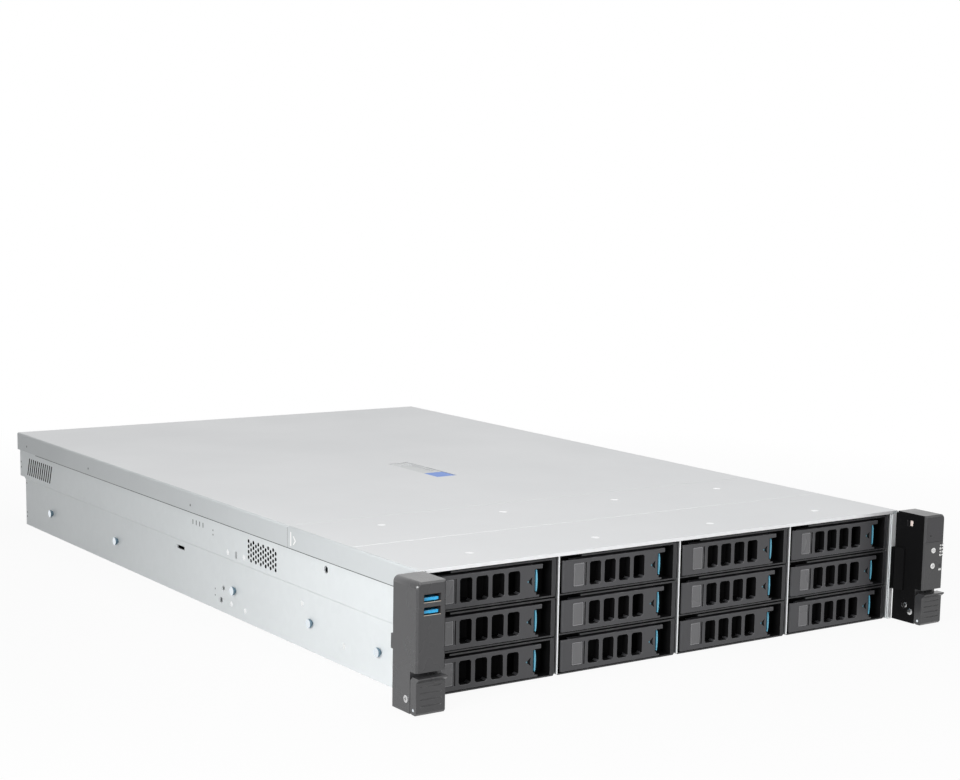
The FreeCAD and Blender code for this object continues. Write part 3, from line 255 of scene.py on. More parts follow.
# ------------------------------------------------------------------ finishes
class Finish:
    """One material under construction: a Principled shader fed by the shared groups."""

    def __init__(self, name, colour, metallic=0.0, roughness=0.5, coat=0.0, specular=0.5):
        self.material = bpy.data.materials.new(name)
        self.material.use_nodes = True
        self.material.diffuse_color = colour
        self.tree = self.material.node_tree
        self.inputs = self.tree.nodes["Principled BSDF"].inputs
        self.colour = colour
        self.roughness = roughness
        for key, value in (("Base Color", colour), ("Metallic", metallic), ("Roughness", roughness),
                           ("Coat Weight", coat), ("Specular IOR Level", specular)):
            self.inputs[key].default_value = value

    def add(self, kind, feeds=None, **settings):
        return add_node(self.tree, kind, feeds, **settings)

    def group(self, name, feeds):
        """Places a shared group, which is built the first time it is asked for."""
        tree = bpy.data.node_groups.get(name) or GROUPS[name](name)
        made = self.add("Group", node_tree=tree)
        for key, value in feeds.items():
            made.inputs[key].default_value = value
        return made.outputs

    def tint(self, mask, colour, amount):
        """Mixes another colour over the base colour where the mask is high."""
        factor = self.add("Math", {0: mask, 1: amount}, operation="MULTIPLY")
        base = self.inputs["Base Color"]
        under = base.links[0].from_socket if base.is_linked else self.colour
        mix = self.add("Mix", data_type="RGBA")
        for key, value in (("Factor", factor.outputs["Value"]), ("A", under), ("B", colour)):
            join(self.tree, value, mix.inputs[key])
        join(self.tree, mix.outputs["Result"], base)

    def vary_roughness(self, mask, spread):
        """Lets roughness move by half the spread each way with the mask."""
        span = self.add("MapRange", {
            "From Min": 0.3, "From Max": 0.7, "To Min": max(0.02, self.roughness - spread / 2),
            "To Max": min(1.0, self.roughness + spread / 2), "Value": mask})
        join(self.tree, span.outputs["Result"], self.inputs["Roughness"])

    def bump(self, height, strength, distance):
        relief = self.add("Bump", {"Strength": strength, "Distance": distance, "Height": height})
        join(self.tree, relief.outputs["Normal"], self.inputs["Normal"])


def tinted(colour, factor=1.0, lift=0.0):
    """A colour made darker or lighter, with no part over one."""
    return (*(min(1.0, part * factor + lift) for part in colour[:3]), 1.0)


def plastic(name, colour, roughness=0.45, grain=0.35, wear=0.35, coat=0.0, mottle=0.12, specular=0.5):
    """A moulded plastic: fine spark texture, slight mottling, and edges lightened by rubbing and a painted
    highlight.
    """
    made = Finish(name, colour, roughness=roughness, coat=coat, specular=specular)
    texture = made.group("Surface grain", {"Grain scale": 2600.0, "Mottle scale": 26.0})
    made.tint(texture["Mottle"], tinted(colour, 1.6, 0.012), mottle)
    if wear:
        # Painted highlight on sharp edges, mixed with real rubbing.
        edges = made.group("Edge wear", {"Width": 0.0005, "Breakup": 140.0, "Amount": wear})
        made.tint(edges["Mask"], tinted(colour, lift=0.16), 1.0)
    made.vary_roughness(texture["Mottle"], 0.16)
    made.bump(texture["Height"], grain, 0.00006)
    return made.material


def metal(name, colour, roughness=0.35, metallic=1.0, stretch=(1.0, 1.0, 1.0), grain=0.15, wear=0.3,
          spangle=0.0, specular=0.5):
    """A rolled or plated metal: drawn grain, mottling, and edges lightened by rubbing and a painted
    highlight.
    """
    made = Finish(name, colour, metallic=metallic, roughness=roughness, specular=specular)
    texture = made.group("Surface grain", {"Grain scale": 700.0, "Mottle scale": 9.0, "Stretch": stretch})
    made.tint(texture["Mottle"], tinted(colour, 0.86), 0.35)
    if spangle:
        made.tint(made.group("Zinc spangle", {"Scale": 170.0})["Mask"], tinted(colour, 0.90), spangle)
    if wear:
        # Painted highlight on sharp edges, mixed with real rubbing.
        edges = made.group("Edge wear", {"Width": 0.0005, "Breakup": 110.0, "Amount": wear})
        made.tint(edges["Mask"], tinted(colour, lift=0.15), 1.0)
    made.vary_roughness(texture["Mottle"], 0.12)
    made.bump(texture["Height"], grain, 0.00003)
    return made.material


def board(name, colour):
    """Solder mask over copper tracks: a fine maze of lines under a satin green coat."""
    made = Finish(name, colour, roughness=0.38, coat=0.4)
    place = made.add("TexCoord").outputs["Object"]
    black, white = (0, 0, 0, 1), (1, 1, 1, 1)
    tracks = made.add("TexBrick", {"Scale": 130.0, "Mortar Size": 0.035, "Color1": black, "Color2": black,
                                   "Mortar": white, "Vector": place}, offset=0.37, squash=1.7)
    made.tint(tracks.outputs["Fac"], (0.03, 0.17, 0.09, 1.0), 0.8)
    holes = made.add("TexVoronoi", {"Scale": 230.0, "Vector": place}, feature="F1")
    dots = made.add("MapRange", {"From Min": 0.16, "From Max": 0.12, "Value": holes.outputs["Distance"]})
    made.tint(dots.outputs["Result"], (0.45, 0.38, 0.20, 1.0), 0.7)
    made.bump(tracks.outputs["Fac"], 0.25, 0.00004)
    return made.material


# Each finish: its maker, its name, its colour or the setting that holds it, and its other values.
RECIPES = {
    "cover": (metal, "Cover steel", "cover_steel",
              dict(roughness=0.44, metallic=0.22, specular=0.35, stretch=(0.15, 1.0, 1.0),
                   grain=0.05, wear=0.35)),
    "latch": (metal, "Latch steel", (0.60, 0.615, 0.62),
              dict(roughness=0.42, metallic=0.2, specular=0.3)),
    # The covers' sides and bends: a darker copy of the cover steel, as painted shade.
    "flange": (metal, "Flange steel", (0.55, 0.575, 0.585),
               dict(roughness=0.42, metallic=0.10, specular=0.18, stretch=(1.0, 0.12, 1.0),
                    grain=0.06, wear=0.3, spangle=0.15)),
    "chassis": (metal, "Chassis steel", "chassis_steel",
                dict(roughness=0.45, metallic=0.12, specular=0.25, stretch=(1.0, 0.12, 1.0),
                     grain=0.08, wear=0.35, spangle=0.25)),
    "cage": (metal, "Cage steel", (0.55, 0.57, 0.58), dict(roughness=0.36, metallic=0.85, spangle=0.35)),
    "cage_edge": (metal, "Bright edge", (0.86, 0.87, 0.88),
                  dict(roughness=0.34, metallic=0.45, wear=0.2)),
    "ear": (plastic, "Ear plastic", "ear_plastic",
            dict(roughness=0.30, grain=0.2, wear=0.3, coat=0.25, mottle=0.04)),
    "ear_panel": (plastic, "Ear panel", (0.016, 0.015, 0.019),
                  dict(roughness=0.16, grain=0.04, wear=0.15, coat=0.3)),
    "lever": (plastic, "Lever plastic", "lever_plastic", dict(roughness=0.36, grain=0.3, wear=0.7)),
    "window": (plastic, "Lever window", (0.115, 0.115, 0.120),
               dict(roughness=0.28, grain=0.15, wear=0.25, coat=0.3)),
    "frame": (plastic, "Frame plastic", "frame_plastic", dict(roughness=0.40, grain=0.3, wear=0.8)),
    # Black plastic; on holes, port and slot mouths and screw crosses it stands for painted shade.
    "black": (plastic, "Black plastic", (0.006, 0.006, 0.007), dict(roughness=0.5, grain=0.3, wear=0.1)),
    "shade": (plastic, "Deep shade", (0.0015, 0.0015, 0.0018),
              dict(roughness=0.8, grain=0.2, wear=0.0, mottle=0.02, specular=0.12)),
    "arrow_tip": (plastic, "Arrow tip", (0.08, 0.24, 0.31), dict(roughness=0.3, grain=0.1, wear=0.0)),
    "dark_shell": (metal, "Shaded shell", (0.05, 0.045, 0.045),
                   dict(roughness=0.4, metallic=0.5, wear=0.1)),
    "release": (plastic, "Release strip", "release_blue",
                dict(roughness=0.28, grain=0.1, wear=0.2, coat=0.3)),
    "pad": (plastic, "Latch pad", "pad_blue", dict(roughness=0.35, grain=0.25, wear=0.3)),
    "tongue": (plastic, "Port tongue", "port_blue", dict(roughness=0.28, grain=0.1, wear=0.0, coat=0.2)),
    "port_shell": (metal, "Port shell", (0.62, 0.53, 0.44), dict(roughness=0.25)),
    "button": (plastic, "Button white", (0.90, 0.90, 0.89), dict(roughness=0.35, grain=0.15, wear=0.0)),
    "mark": (plastic, "Printed mark", (0.80, 0.80, 0.79), dict(roughness=0.55, grain=0.1, wear=0.0)),
    "mark_grey": (plastic, "Grey mark", (0.30, 0.31, 0.32), dict(roughness=0.45, grain=0.1, wear=0.0)),
    "rivet": (metal, "Bright rivet", (0.90, 0.91, 0.92), dict(roughness=0.22, grain=0.05)),
    "stud": (metal, "Plated stud", (0.84, 0.90, 0.95), dict(roughness=0.16, grain=0.04)),
    "stud_side_shade": (metal, "Stud side", (0.16, 0.24, 0.30), dict(roughness=0.3, metallic=0.7, wear=0.0)),
    "screw": (metal, "Screw steel", (0.62, 0.62, 0.62), dict(roughness=0.28)),
    "supply": (metal, "Supply case", (0.52, 0.53, 0.54),
               dict(roughness=0.38, metallic=0.85, spangle=0.3)),
    "sink": (metal, "Heat sink", (0.80, 0.80, 0.81),
             dict(roughness=0.30, stretch=(1.0, 0.1, 1.0), grain=0.2)),
    "drive": (metal, "Drive case", (0.50, 0.50, 0.51), dict(roughness=0.42)),
    "board": (board, "Board laminate", (0.010, 0.075, 0.040), {}),
    "socket": (plastic, "Socket plastic", (0.30, 0.28, 0.24), dict(roughness=0.5)),
    "contact": (metal, "Gold contact", (0.83, 0.62, 0.28), dict(roughness=0.25)),
    "chip": (plastic, "Chip black", (0.012, 0.012, 0.013), dict(roughness=0.42, grain=0.5, wear=0.15)),
    # Painted shade for the gaps, pits and stamped dashes in the sheet metal.
    "pit": (metal, "Shaded pit", (0.10, 0.11, 0.11), dict(roughness=0.6, metallic=0.3, wear=0.0)),
    "window_rim": (plastic, "Window rim", (0.24, 0.24, 0.25), dict(roughness=0.35, grain=0.1, wear=0.0)),
    "pink_metal": (metal, "Pale contact", (0.95, 0.80, 0.74),
                   dict(roughness=0.4, metallic=0.1, wear=0.0)),
    "lamp_green": (plastic, "Green lens", (0.08, 0.36, 0.12),
                   dict(roughness=0.2, grain=0.05, wear=0.0, coat=0.4)),
}
FINISHES = {}


def finish(name):
    """The material of that name, built the first time it is asked for."""
    if name not in FINISHES:
        make, label, colour, values = RECIPES[name]
        if isinstance(colour, str):
            colour = getattr(finish_settings(), colour)
        FINISHES[name] = make(label, (*colour[:3], 1.0), **values)
    return FINISHES[name]


# ------------------------------------------------------------------ mesh makers
def axes_for(direction):
    """Two directions square to this one, so that across x up = direction."""
    along = Vector(direction).normalized()
    up = Vector((0, 0, 1)) if abs(along.z) < 0.5 else Vector((0, 1, 0))
    across = up.cross(along).normalized()
    return across, along.cross(across).normalized()


def lathe(mesh, centre, direction, profile, segments=28):
    """Turns a profile of (radius, distance along) about an axis and closes both ends."""
    along = Vector(direction).normalized()
    across, up = axes_for(direction)
    rings = []
    for radius, distance in profile:
        ring = []
        for step in range(segments):
            turn = 2 * math.pi * step / segments
            offset = across * (radius * math.cos(turn)) + up * (radius * math.sin(turn))
            ring.append(mesh.verts.new(Vector(centre) + along * distance + offset))
        rings.append(ring)
    for first, second in zip(rings, rings[1:]):
        for step in range(segments):
            after = (step + 1) % segments
            mesh.faces.new((first[step], first[after], second[after], second[step]))
    mesh.faces.new(list(reversed(rings[0])))
    mesh.faces.new(rings[-1])


def slab(mesh, corner, opposite, taper=0.0):
    """A box between two corners whose top (+Z) face is drawn in by a taper."""
    (x0, y0, z0), (x1, y1, z1) = corner, opposite
    verts = [mesh.verts.new(p) for p in (
        (x0, y0, z0), (x1, y0, z0), (x1, y1, z0), (x0, y1, z0),
        (x0 + taper, y0 + taper, z1), (x1 - taper, y0 + taper, z1),
        (x1 - taper, y1 - taper, z1), (x0 + taper, y1 - taper, z1))]
    for face in ((0, 3, 2, 1), (4, 5, 6, 7), (0, 1, 5, 4), (1, 2, 6, 5), (2, 3, 7, 6), (3, 0, 4, 7)):
        mesh.faces.new([verts[index] for index in face])


def block(mesh, base, first, second, taper=0.0):
    """A slab between two corners given in millimetres from a base point."""
    slab(mesh, *([start + part * MM for start, part in zip(base, corner)] for corner in (first, second)),
         taper)


def plate(mesh, origin, across, up, outline, depth):
    """A flat plate: an outline of (across, up) points, raised along the plate's normal."""
    across, up = Vector(across), Vector(up)
    normal = across.cross(up).normalized()
    base = [mesh.verts.new(Vector(origin) + across * a + up * b) for a, b in outline]
    raised = [mesh.verts.new(vert.co + normal * depth) for vert in base]
    count = len(base)
    mesh.faces.new(list(reversed(base)))
    mesh.faces.new(raised)
    for step in range(count):
        after = (step + 1) % count
        mesh.faces.new((base[step], base[after], raised[after], raised[step]))


def in_metres(points):
    """Pairs of millimetres as pairs of metres."""
    return [(first * MM, second * MM) for first, second in points]


def rounded_rectangle(width, height, radius, steps=4):
    """Corner points of a rectangle with round corners about the origin, from sizes in millimetres."""
    points = []
    for corner, (sx, sy) in enumerate(((1, 1), (-1, 1), (-1, -1), (1, -1))):
        for step in range(steps + 1):
            turn = math.radians(90 * corner + 90 * step / steps)
            points.append((sx * (width / 2 - radius) + radius * math.cos(turn),
                           sy * (height / 2 - radius) + radius * math.sin(turn)))
    return in_metres(points)


def new_object(name, data):
    made = bpy.data.objects.new(name, data)
    bpy.context.scene.collection.objects.link(made)
    return made


def mesh_data(name, mesh):
    """Turns a bmesh into the data of a mesh object, and frees it."""
    data = bpy.data.meshes.new(name)
    mesh.to_mesh(data)
    mesh.free()
    return data


def round_edges(item, width, angle):
    """Rounds an object's edges where they turn by more than an angle in degrees."""
    edge = item.modifiers.new("Rounded edges", "BEVEL")
    edge.width = width
    edge.segments = 2
    edge.limit_method = "ANGLE"
    edge.angle_limit = math.radians(angle)


def piece(name, mesh, material, body, rounding=0.0):
    """Turns a bmesh into a finished piece that rides on a body."""
    bmesh.ops.recalc_face_normals(mesh, faces=mesh.faces)
    data = mesh_data(name, mesh)
    made = new_object(name, data)
    data.materials.append(finish(material))
    for face in data.polygons:
        face.use_smooth = True
    data.set_sharp_from_angle(angle=math.radians(PIECE_SHARP))
    if rounding:
        round_edges(made, rounding, PIECE_SHARP)
    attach(made, body)


def dress(node, *names, rounding=0.0):
    """Gives a CAD node its finishes, the first one everywhere, and rounds its edges."""
    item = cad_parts[node]
    item.data.materials.clear()
    for name in names:
        item.data.materials.append(finish(name))
    for face in item.data.polygons:
        face.material_index = 0
    if rounding:
        weld = item.modifiers.new("Joined corners", "WELD")
        weld.merge_threshold = 0.002 * MM
        round_edges(item, rounding, NODE_SHARP)


def paint(node, index, test):
    """Gives a CAD node's faces another of its finishes where their middle passes a test."""
    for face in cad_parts[node].data.polygons:
        if test(face.center, face.normal):
            face.material_index = index


def solid_faces(node):
    """The faces of each separate solid in a CAD node, as lists of face numbers."""
    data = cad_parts[node].data
    keys = {}
    parent = {}

    def find(key):
        while parent[key] != key:
            parent[key] = parent[parent[key]]
            key = parent[key]
        return key

    for vert in data.vertices:
        key = tuple(round(part / (0.004 * MM)) for part in vert.co)
        keys[vert.index] = key
        parent.setdefault(key, key)
    for face in data.polygons:
        first = find(keys[face.vertices[0]])
        for number in face.vertices[1:]:
            parent[find(keys[number])] = first
    groups = {}
    for face in data.polygons:
        groups.setdefault(find(keys[face.vertices[0]]), []).append(face.index)
    return list(groups.values())


def solids(node):
    """Each separate solid of a CAD node: its face numbers, and two corners of its box."""
    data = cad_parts[node].data
    for faces in solid_faces(node):
        spots = [data.vertices[number].co for face in faces for number in data.polygons[face].vertices]
        yield (faces, Vector([min(spot[axis] for spot in spots) for axis in range(3)]),
               Vector([max(spot[axis] for spot in spots) for axis in range(3)]))


def paint_solids(node, index, test):
    """Gives whole solids of a CAD node another finish where their box passes a test."""
    for faces, lo, hi in solids(node):
        if test(lo, hi):
            for face in faces:
                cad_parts[node].data.polygons[face].material_index = index


# ------------------------------------------------------------------ operators: stage
def look_matrix(place, turn, tilt, roll):
    """A camera matrix from its place, heading, tilt and roll."""
    ahead = Vector((math.sin(turn) * math.cos(tilt), math.cos(turn) * math.cos(tilt), math.sin(tilt)))
    right = ahead.cross(Vector((0, 0, 1))).normalized()
    above = right.cross(ahead)
    across = right * math.cos(roll) + above * math.sin(roll)
    up = above * math.cos(roll) - right * math.sin(roll)
    columns = Matrix((across, up, -ahead)).transposed()
    return Matrix.Translation(Vector(place)) @ columns.to_4x4()


def softbox(name, place, target, width, height, power, spread=180):
    """A rectangular lamp that faces a target, with its spread in degrees."""
    lamp = bpy.data.lights.new(name, "AREA")
    lamp.shape = "RECTANGLE"
    lamp.size = width
    lamp.size_y = height
    lamp.energy = power
    lamp.spread = math.radians(spread)
    holder = new_object(name, lamp)
    holder.location = place
    holder.rotation_euler = (Vector(target) - Vector(place)).to_track_quat("-Z", "Y").to_euler()


def seen_directly(tree):
    """One where the camera looks, also in gloss and through glass, and zero for light."""
    path = add_node(tree, "LightPath").outputs
    seen = add_node(tree, "Math", {0: path["Is Camera Ray"], 1: path["Is Glossy Ray"]}, operation="MAXIMUM")
    return add_node(tree, "Math", {0: seen.outputs["Value"], 1: path["Is Transmission Ray"]},
                    operation="MAXIMUM").outputs["Value"]


def mix_surface(tree, share, first, second, end):
    """Ends a tree in a mix of two shaders."""
    mix = add_node(tree, "MixShader", {"Fac": share, 1: first, 2: second})
    join(tree, mix.outputs["Shader"], tree.nodes[end].inputs["Surface"])


class SERVER_OT_stage(bpy.types.Operator):
    """Builds the floor, the lamps, the room light and the camera"""

    bl_idname = "server.stage"
    bl_label = "Stage"

    def execute(self, context):
        settings = stage_settings()
        self.build_floor(settings)
        self.build_room(settings)
        softbox("Overhead softbox", (0.1, -0.3, 2.3), (0, 0, 0), 2.6, 2.6, settings.key_power)
        softbox("Side softbox", (-1.1, -0.75, 0.35), (-0.24, -0.42, 0.04), 0.5, 0.5, settings.side_power, 80)
        softbox("Front softbox", (0.2, -2.6, 0.8), (0.0, -0.35, 0.04), 1.8, 1.1, settings.front_power)
        self.build_camera(settings)
        context.scene.view_settings.view_transform = "Standard"
        return {"FINISHED"}

    def build_floor(self, settings):
        mesh = bmesh.new()
        corners = [(-FLOOR_REACH, -FLOOR_REACH), (FLOOR_REACH, -FLOOR_REACH),
                   (FLOOR_REACH, FLOOR_REACH), (-FLOOR_REACH, FLOOR_REACH)]
        mesh.faces.new([mesh.verts.new((x, y, -FLOOR_DROP)) for x, y in corners])
        data = mesh_data("floor", mesh)
        floor = new_object("floor", data)
        data.materials.append(self.floor_material(settings))

    def floor_material(self, settings):
        """A matt pale floor that the camera sees as white, apart from the shadow it catches."""
        material = bpy.data.materials.new("Floor")
        material.use_nodes = True
        tree = material.node_tree
        matt = tree.nodes["Principled BSDF"]
        matt.inputs["Base Color"].default_value = settings.floor_colour
        matt.inputs["Roughness"].default_value = 0.9
        white = add_node(tree, "Emission").outputs["Emission"]
        place = add_node(tree, "TexCoord").outputs["Object"]
        far = add_node(tree, "VectorMath", {0: place}, operation="LENGTH")
        fade = add_node(tree, "MapRange", {"From Min": 0.45, "From Max": 0.95, "To Min": 0.93,
                                           "Value": far.outputs["Value"]})
        share = add_node(tree, "Math", {0: fade.outputs["Result"], 1: seen_directly(tree)},
                         operation="MULTIPLY")
        mix_surface(tree, share.outputs["Value"], matt.outputs["BSDF"], white, "Material Output")
        return material

    def build_room(self, settings):
        """An even pale room: white to the camera and to gloss, softer as light."""
        world = bpy.data.worlds.new("Room")
        bpy.context.scene.world = world
        world.use_nodes = True
        tree = world.node_tree
        light = tree.nodes["Background"]
        light.inputs["Color"].default_value = (1, 1, 1, 1)
        light.inputs["Strength"].default_value = settings.world_strength
        seen = add_node(tree, "Background", {"Color": (1, 1, 1, 1), "Strength": 1.0})
        mix_surface(tree, seen_directly(tree), light.outputs["Background"], seen.outputs["Background"],
                    "World Output")

    def build_camera(self, settings):
        lens = bpy.data.cameras.new("Camera")
        lens.sensor_width = 36.0
        lens.lens = settings.camera_lens
        lens.shift_x = -settings.camera_shift
        lens.shift_y = settings.camera_shift
        lens.clip_start = 0.05
        holder = new_object("Camera", lens)
        holder.matrix_world = look_matrix(settings.camera_place, settings.camera_turn,
                                          settings.camera_tilt, settings.camera_roll)
        bpy.context.scene.camera = holder


# ------------------------------------------------------------------ operators: CAD nodes' finishes
def vent_spans():
    """From where to where the front and the rear vent of a side wall run."""
    fans, rear = low("fan_housings").y, high("chassis_base").y
    return (fans + 5 * MM, fans + 58 * MM), (rear - 84 * MM, rear - 13 * MM)


class SERVER_OT_sheet_metal(bpy.types.Operator):
    """Finishes the covers, the chassis, the cage and the rear wall"""

    bl_idname = "server.sheet_metal"
    bl_label = "Sheet metal"

    def execute(self, context):
        rounding = detail_settings().sheet_round
        for node in ("front_cover", "rear_cover"):
            dress(node, "cover", "flange", "cage_edge", rounding=rounding)
            # Painted shade: the covers' faces that turn sideways, the flanges and their bends, take the
            # darker flange finish.
            paint(node, 1, lambda spot, normal: abs(normal.x) > 0.2)
        paint("front_cover", 2, lambda spot, normal: normal.y < -0.9)
        dress("chassis_base", "chassis", "cage_edge", "shade")
        paint("chassis_base", 1, lambda spot, normal: normal.y < -0.9 and spot.y < SHEET_FRONT + 1 * MM)
        self.shade_vents()
        dress("drive_cage", "cage", "cage_edge")
        edge = low("drive_cage").y + 4 * MM
        paint("drive_cage", 1, lambda spot, normal: spot.y < edge)
        dress("rear_wall", "cage")
        dress("fasteners", "stud", "stud_side_shade", rounding=rounding)
        # Painted shade on the studs' sides, so that only their faces look bright.
        paint("fasteners", 1, lambda spot, normal: abs(normal.x) < 0.6)
        dress("cover_latch", "latch", "pad", rounding=2 * rounding)
        split = low("cover_latch").y + 21.9 * MM
        paint("cover_latch", 1, lambda spot, normal: spot.y < split)
        return {"FINISHED"}

    def shade_vents(self):
        """The cut edges of the vents in the side walls lie in their own shade."""
        wall = -low("rear_cover").x - 2.6 * MM
        spans = vent_spans()
        paint("chassis_base", 2, lambda spot, normal: abs(normal.x) < 0.5 and abs(spot.x) > wall
              and 46.5 * MM < spot.z < 68.5 * MM and any(first < spot.y < last for first, last in spans))


class SERVER_OT_carriers(bpy.types.Operator):
    """Finishes the drive carriers, their levers and release strips"""

    bl_idname = "server.carriers"
    bl_label = "Drive carriers"

    def execute(self, context):
        rounding = detail_settings().edge_round
        for number in BAYS:
            node = "carrier_%d" % number
            dress(node, "frame", "drive", "shade", rounding=rounding)
            paint_solids(node, 1, lambda lo, hi: hi.x - lo.x < 102.5 * MM)
            self.darken_drive_front(node, low(node).y + 20 * MM)
            dress("carrier_lever_%d" % number, "lever", "shade", rounding=rounding)
            self.darken_hollows(number)
            dress("carrier_release_%d" % number, "release", rounding=rounding)
        return {"FINISHED"}

    def darken_drive_front(self, node, front):
        """The drive's front end behind the lever's vents is painted with deep shade."""
        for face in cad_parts[node].data.polygons:
            if face.material_index == 1 and face.center.y < front:
                face.material_index = 2

    def darken_hollows(self, number):
        """The vents' walls and the finger recess behind the lever lie in deep shade."""
        face = low("carrier_%d" % number).y
        paint("carrier_%d" % number, 2, lambda spot, normal: face + 1.5 * MM < spot.y < face + 20 * MM)
        lo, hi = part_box("carrier_lever_%d" % number)
        centre, half = (lo.z + hi.z) / 2, (hi.z - lo.z) / 2 - 1.0 * MM
        paint("carrier_lever_%d" % number, 1, lambda spot, normal: normal.y > -0.5
              and abs(spot.z - centre) < half and not (normal.z > 0.3 and normal.x < -0.3))


class SERVER_OT_ears(bpy.types.Operator):
    """Finishes the rack ears, their levers, the ports, buttons and lights"""

    bl_idname = "server.ears"
    bl_label = "Rack ears"

    def execute(self, context):
        rounding = detail_settings().edge_round
        for side in ("left", "right"):
            dress(side + "_ear", "ear", "shade", "ear_panel", rounding=2 * rounding)
            dress(side + "_ear_lever", "ear", rounding=rounding)
        # Painted shade: the ear's solids 20 to 65 mm tall, and its inner side that faces -X, take the deep
        # shade finish.
        paint_solids("right_ear", 1, lambda lo, hi: 20 * MM < hi.z - lo.z < 65 * MM)
        paint("right_ear", 1, lambda spot, normal: normal.x < -0.9)
        panel = EAR_FRONT + 0.5 * MM
        paint("right_ear", 2, lambda spot, normal: abs(spot.y - panel) < 0.1 * MM and normal.y < -0.9)
        dress("usb_ports", "port_shell", "tongue", "dark_shell")
        paint_solids("usb_ports", 1, lambda lo, hi: hi.z - lo.z < 3 * MM)
        self.shade_shells()
        for button in ("power_button", "id_button"):
            dress(button, "button", rounding=rounding)
        dress("status_lights", "ear_panel", rounding=rounding)
        return {"FINISHED"}

    def shade_shells(self):
        """All of each port's shell but its lower lip lies in the shade of the ear's mouth."""
        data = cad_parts["usb_ports"].data
        for faces, lo, hi in solids("usb_ports"):
            if hi.z - lo.z < 3 * MM:
                continue
            for face in faces:
                if data.polygons[face].center.z > lo.z + 0.9 * MM:
                    data.polygons[face].material_index = 2


class SERVER_OT_inside(bpy.types.Operator):
    """Finishes the boards, fans, heat sinks and power supplies"""

    bl_idname = "server.inside"
    bl_label = "Inside"

    def execute(self, context):
        rounding = detail_settings().sheet_round
        dress("backplane", "board", "black")
        paint_solids("backplane", 1, lambda lo, hi: hi.z - lo.z < 8 * MM)
        dress("mainboard", "board", "socket", "chip", "cage")
        board_top = low("mainboard").z
        paint_solids("mainboard", 3, lambda lo, hi: hi.x - lo.x < 7 * MM and lo.z < board_top + 1 * MM)
        paint_solids("mainboard", 1, lambda lo, hi: hi.z - lo.z < 7 * MM and 70 * MM < hi.x - lo.x < 90 * MM)
        paint_solids("mainboard", 3, lambda lo, hi: hi.y > high("rear_wall").y - 12 * MM)
        dress("heatsinks", "sink")
        dress("fan_housings", "black", "cage", rounding=rounding)
        paint_solids("fan_housings", 1, lambda lo, hi: hi.y - lo.y < 2 * MM)
        for number in range(1, 4):
            dress("fan_rotor_%d" % number, "chip", rounding=rounding)
        for number in (1, 2):
            dress("power_supply_%d" % number, "supply", rounding=rounding)
        return {"FINISHED"}


# ------------------------------------------------------------------ operators: details on the sheet metal
def flush_rivet(mesh, spot, direction, radius, height):
    """A rivet head that is all but level with its sheet."""
    lathe(mesh, spot, direction, ((radius, -0.2 * MM), (radius, 0.4 * height), (0.8 * radius, height)), 20)


def on_side(depth, height, band):
    """A place on the left side: how far back, how high, and on which surface, in millimetres."""
    return Vector((low("rear_cover").x + band * MM, behind_front(depth), height * MM))


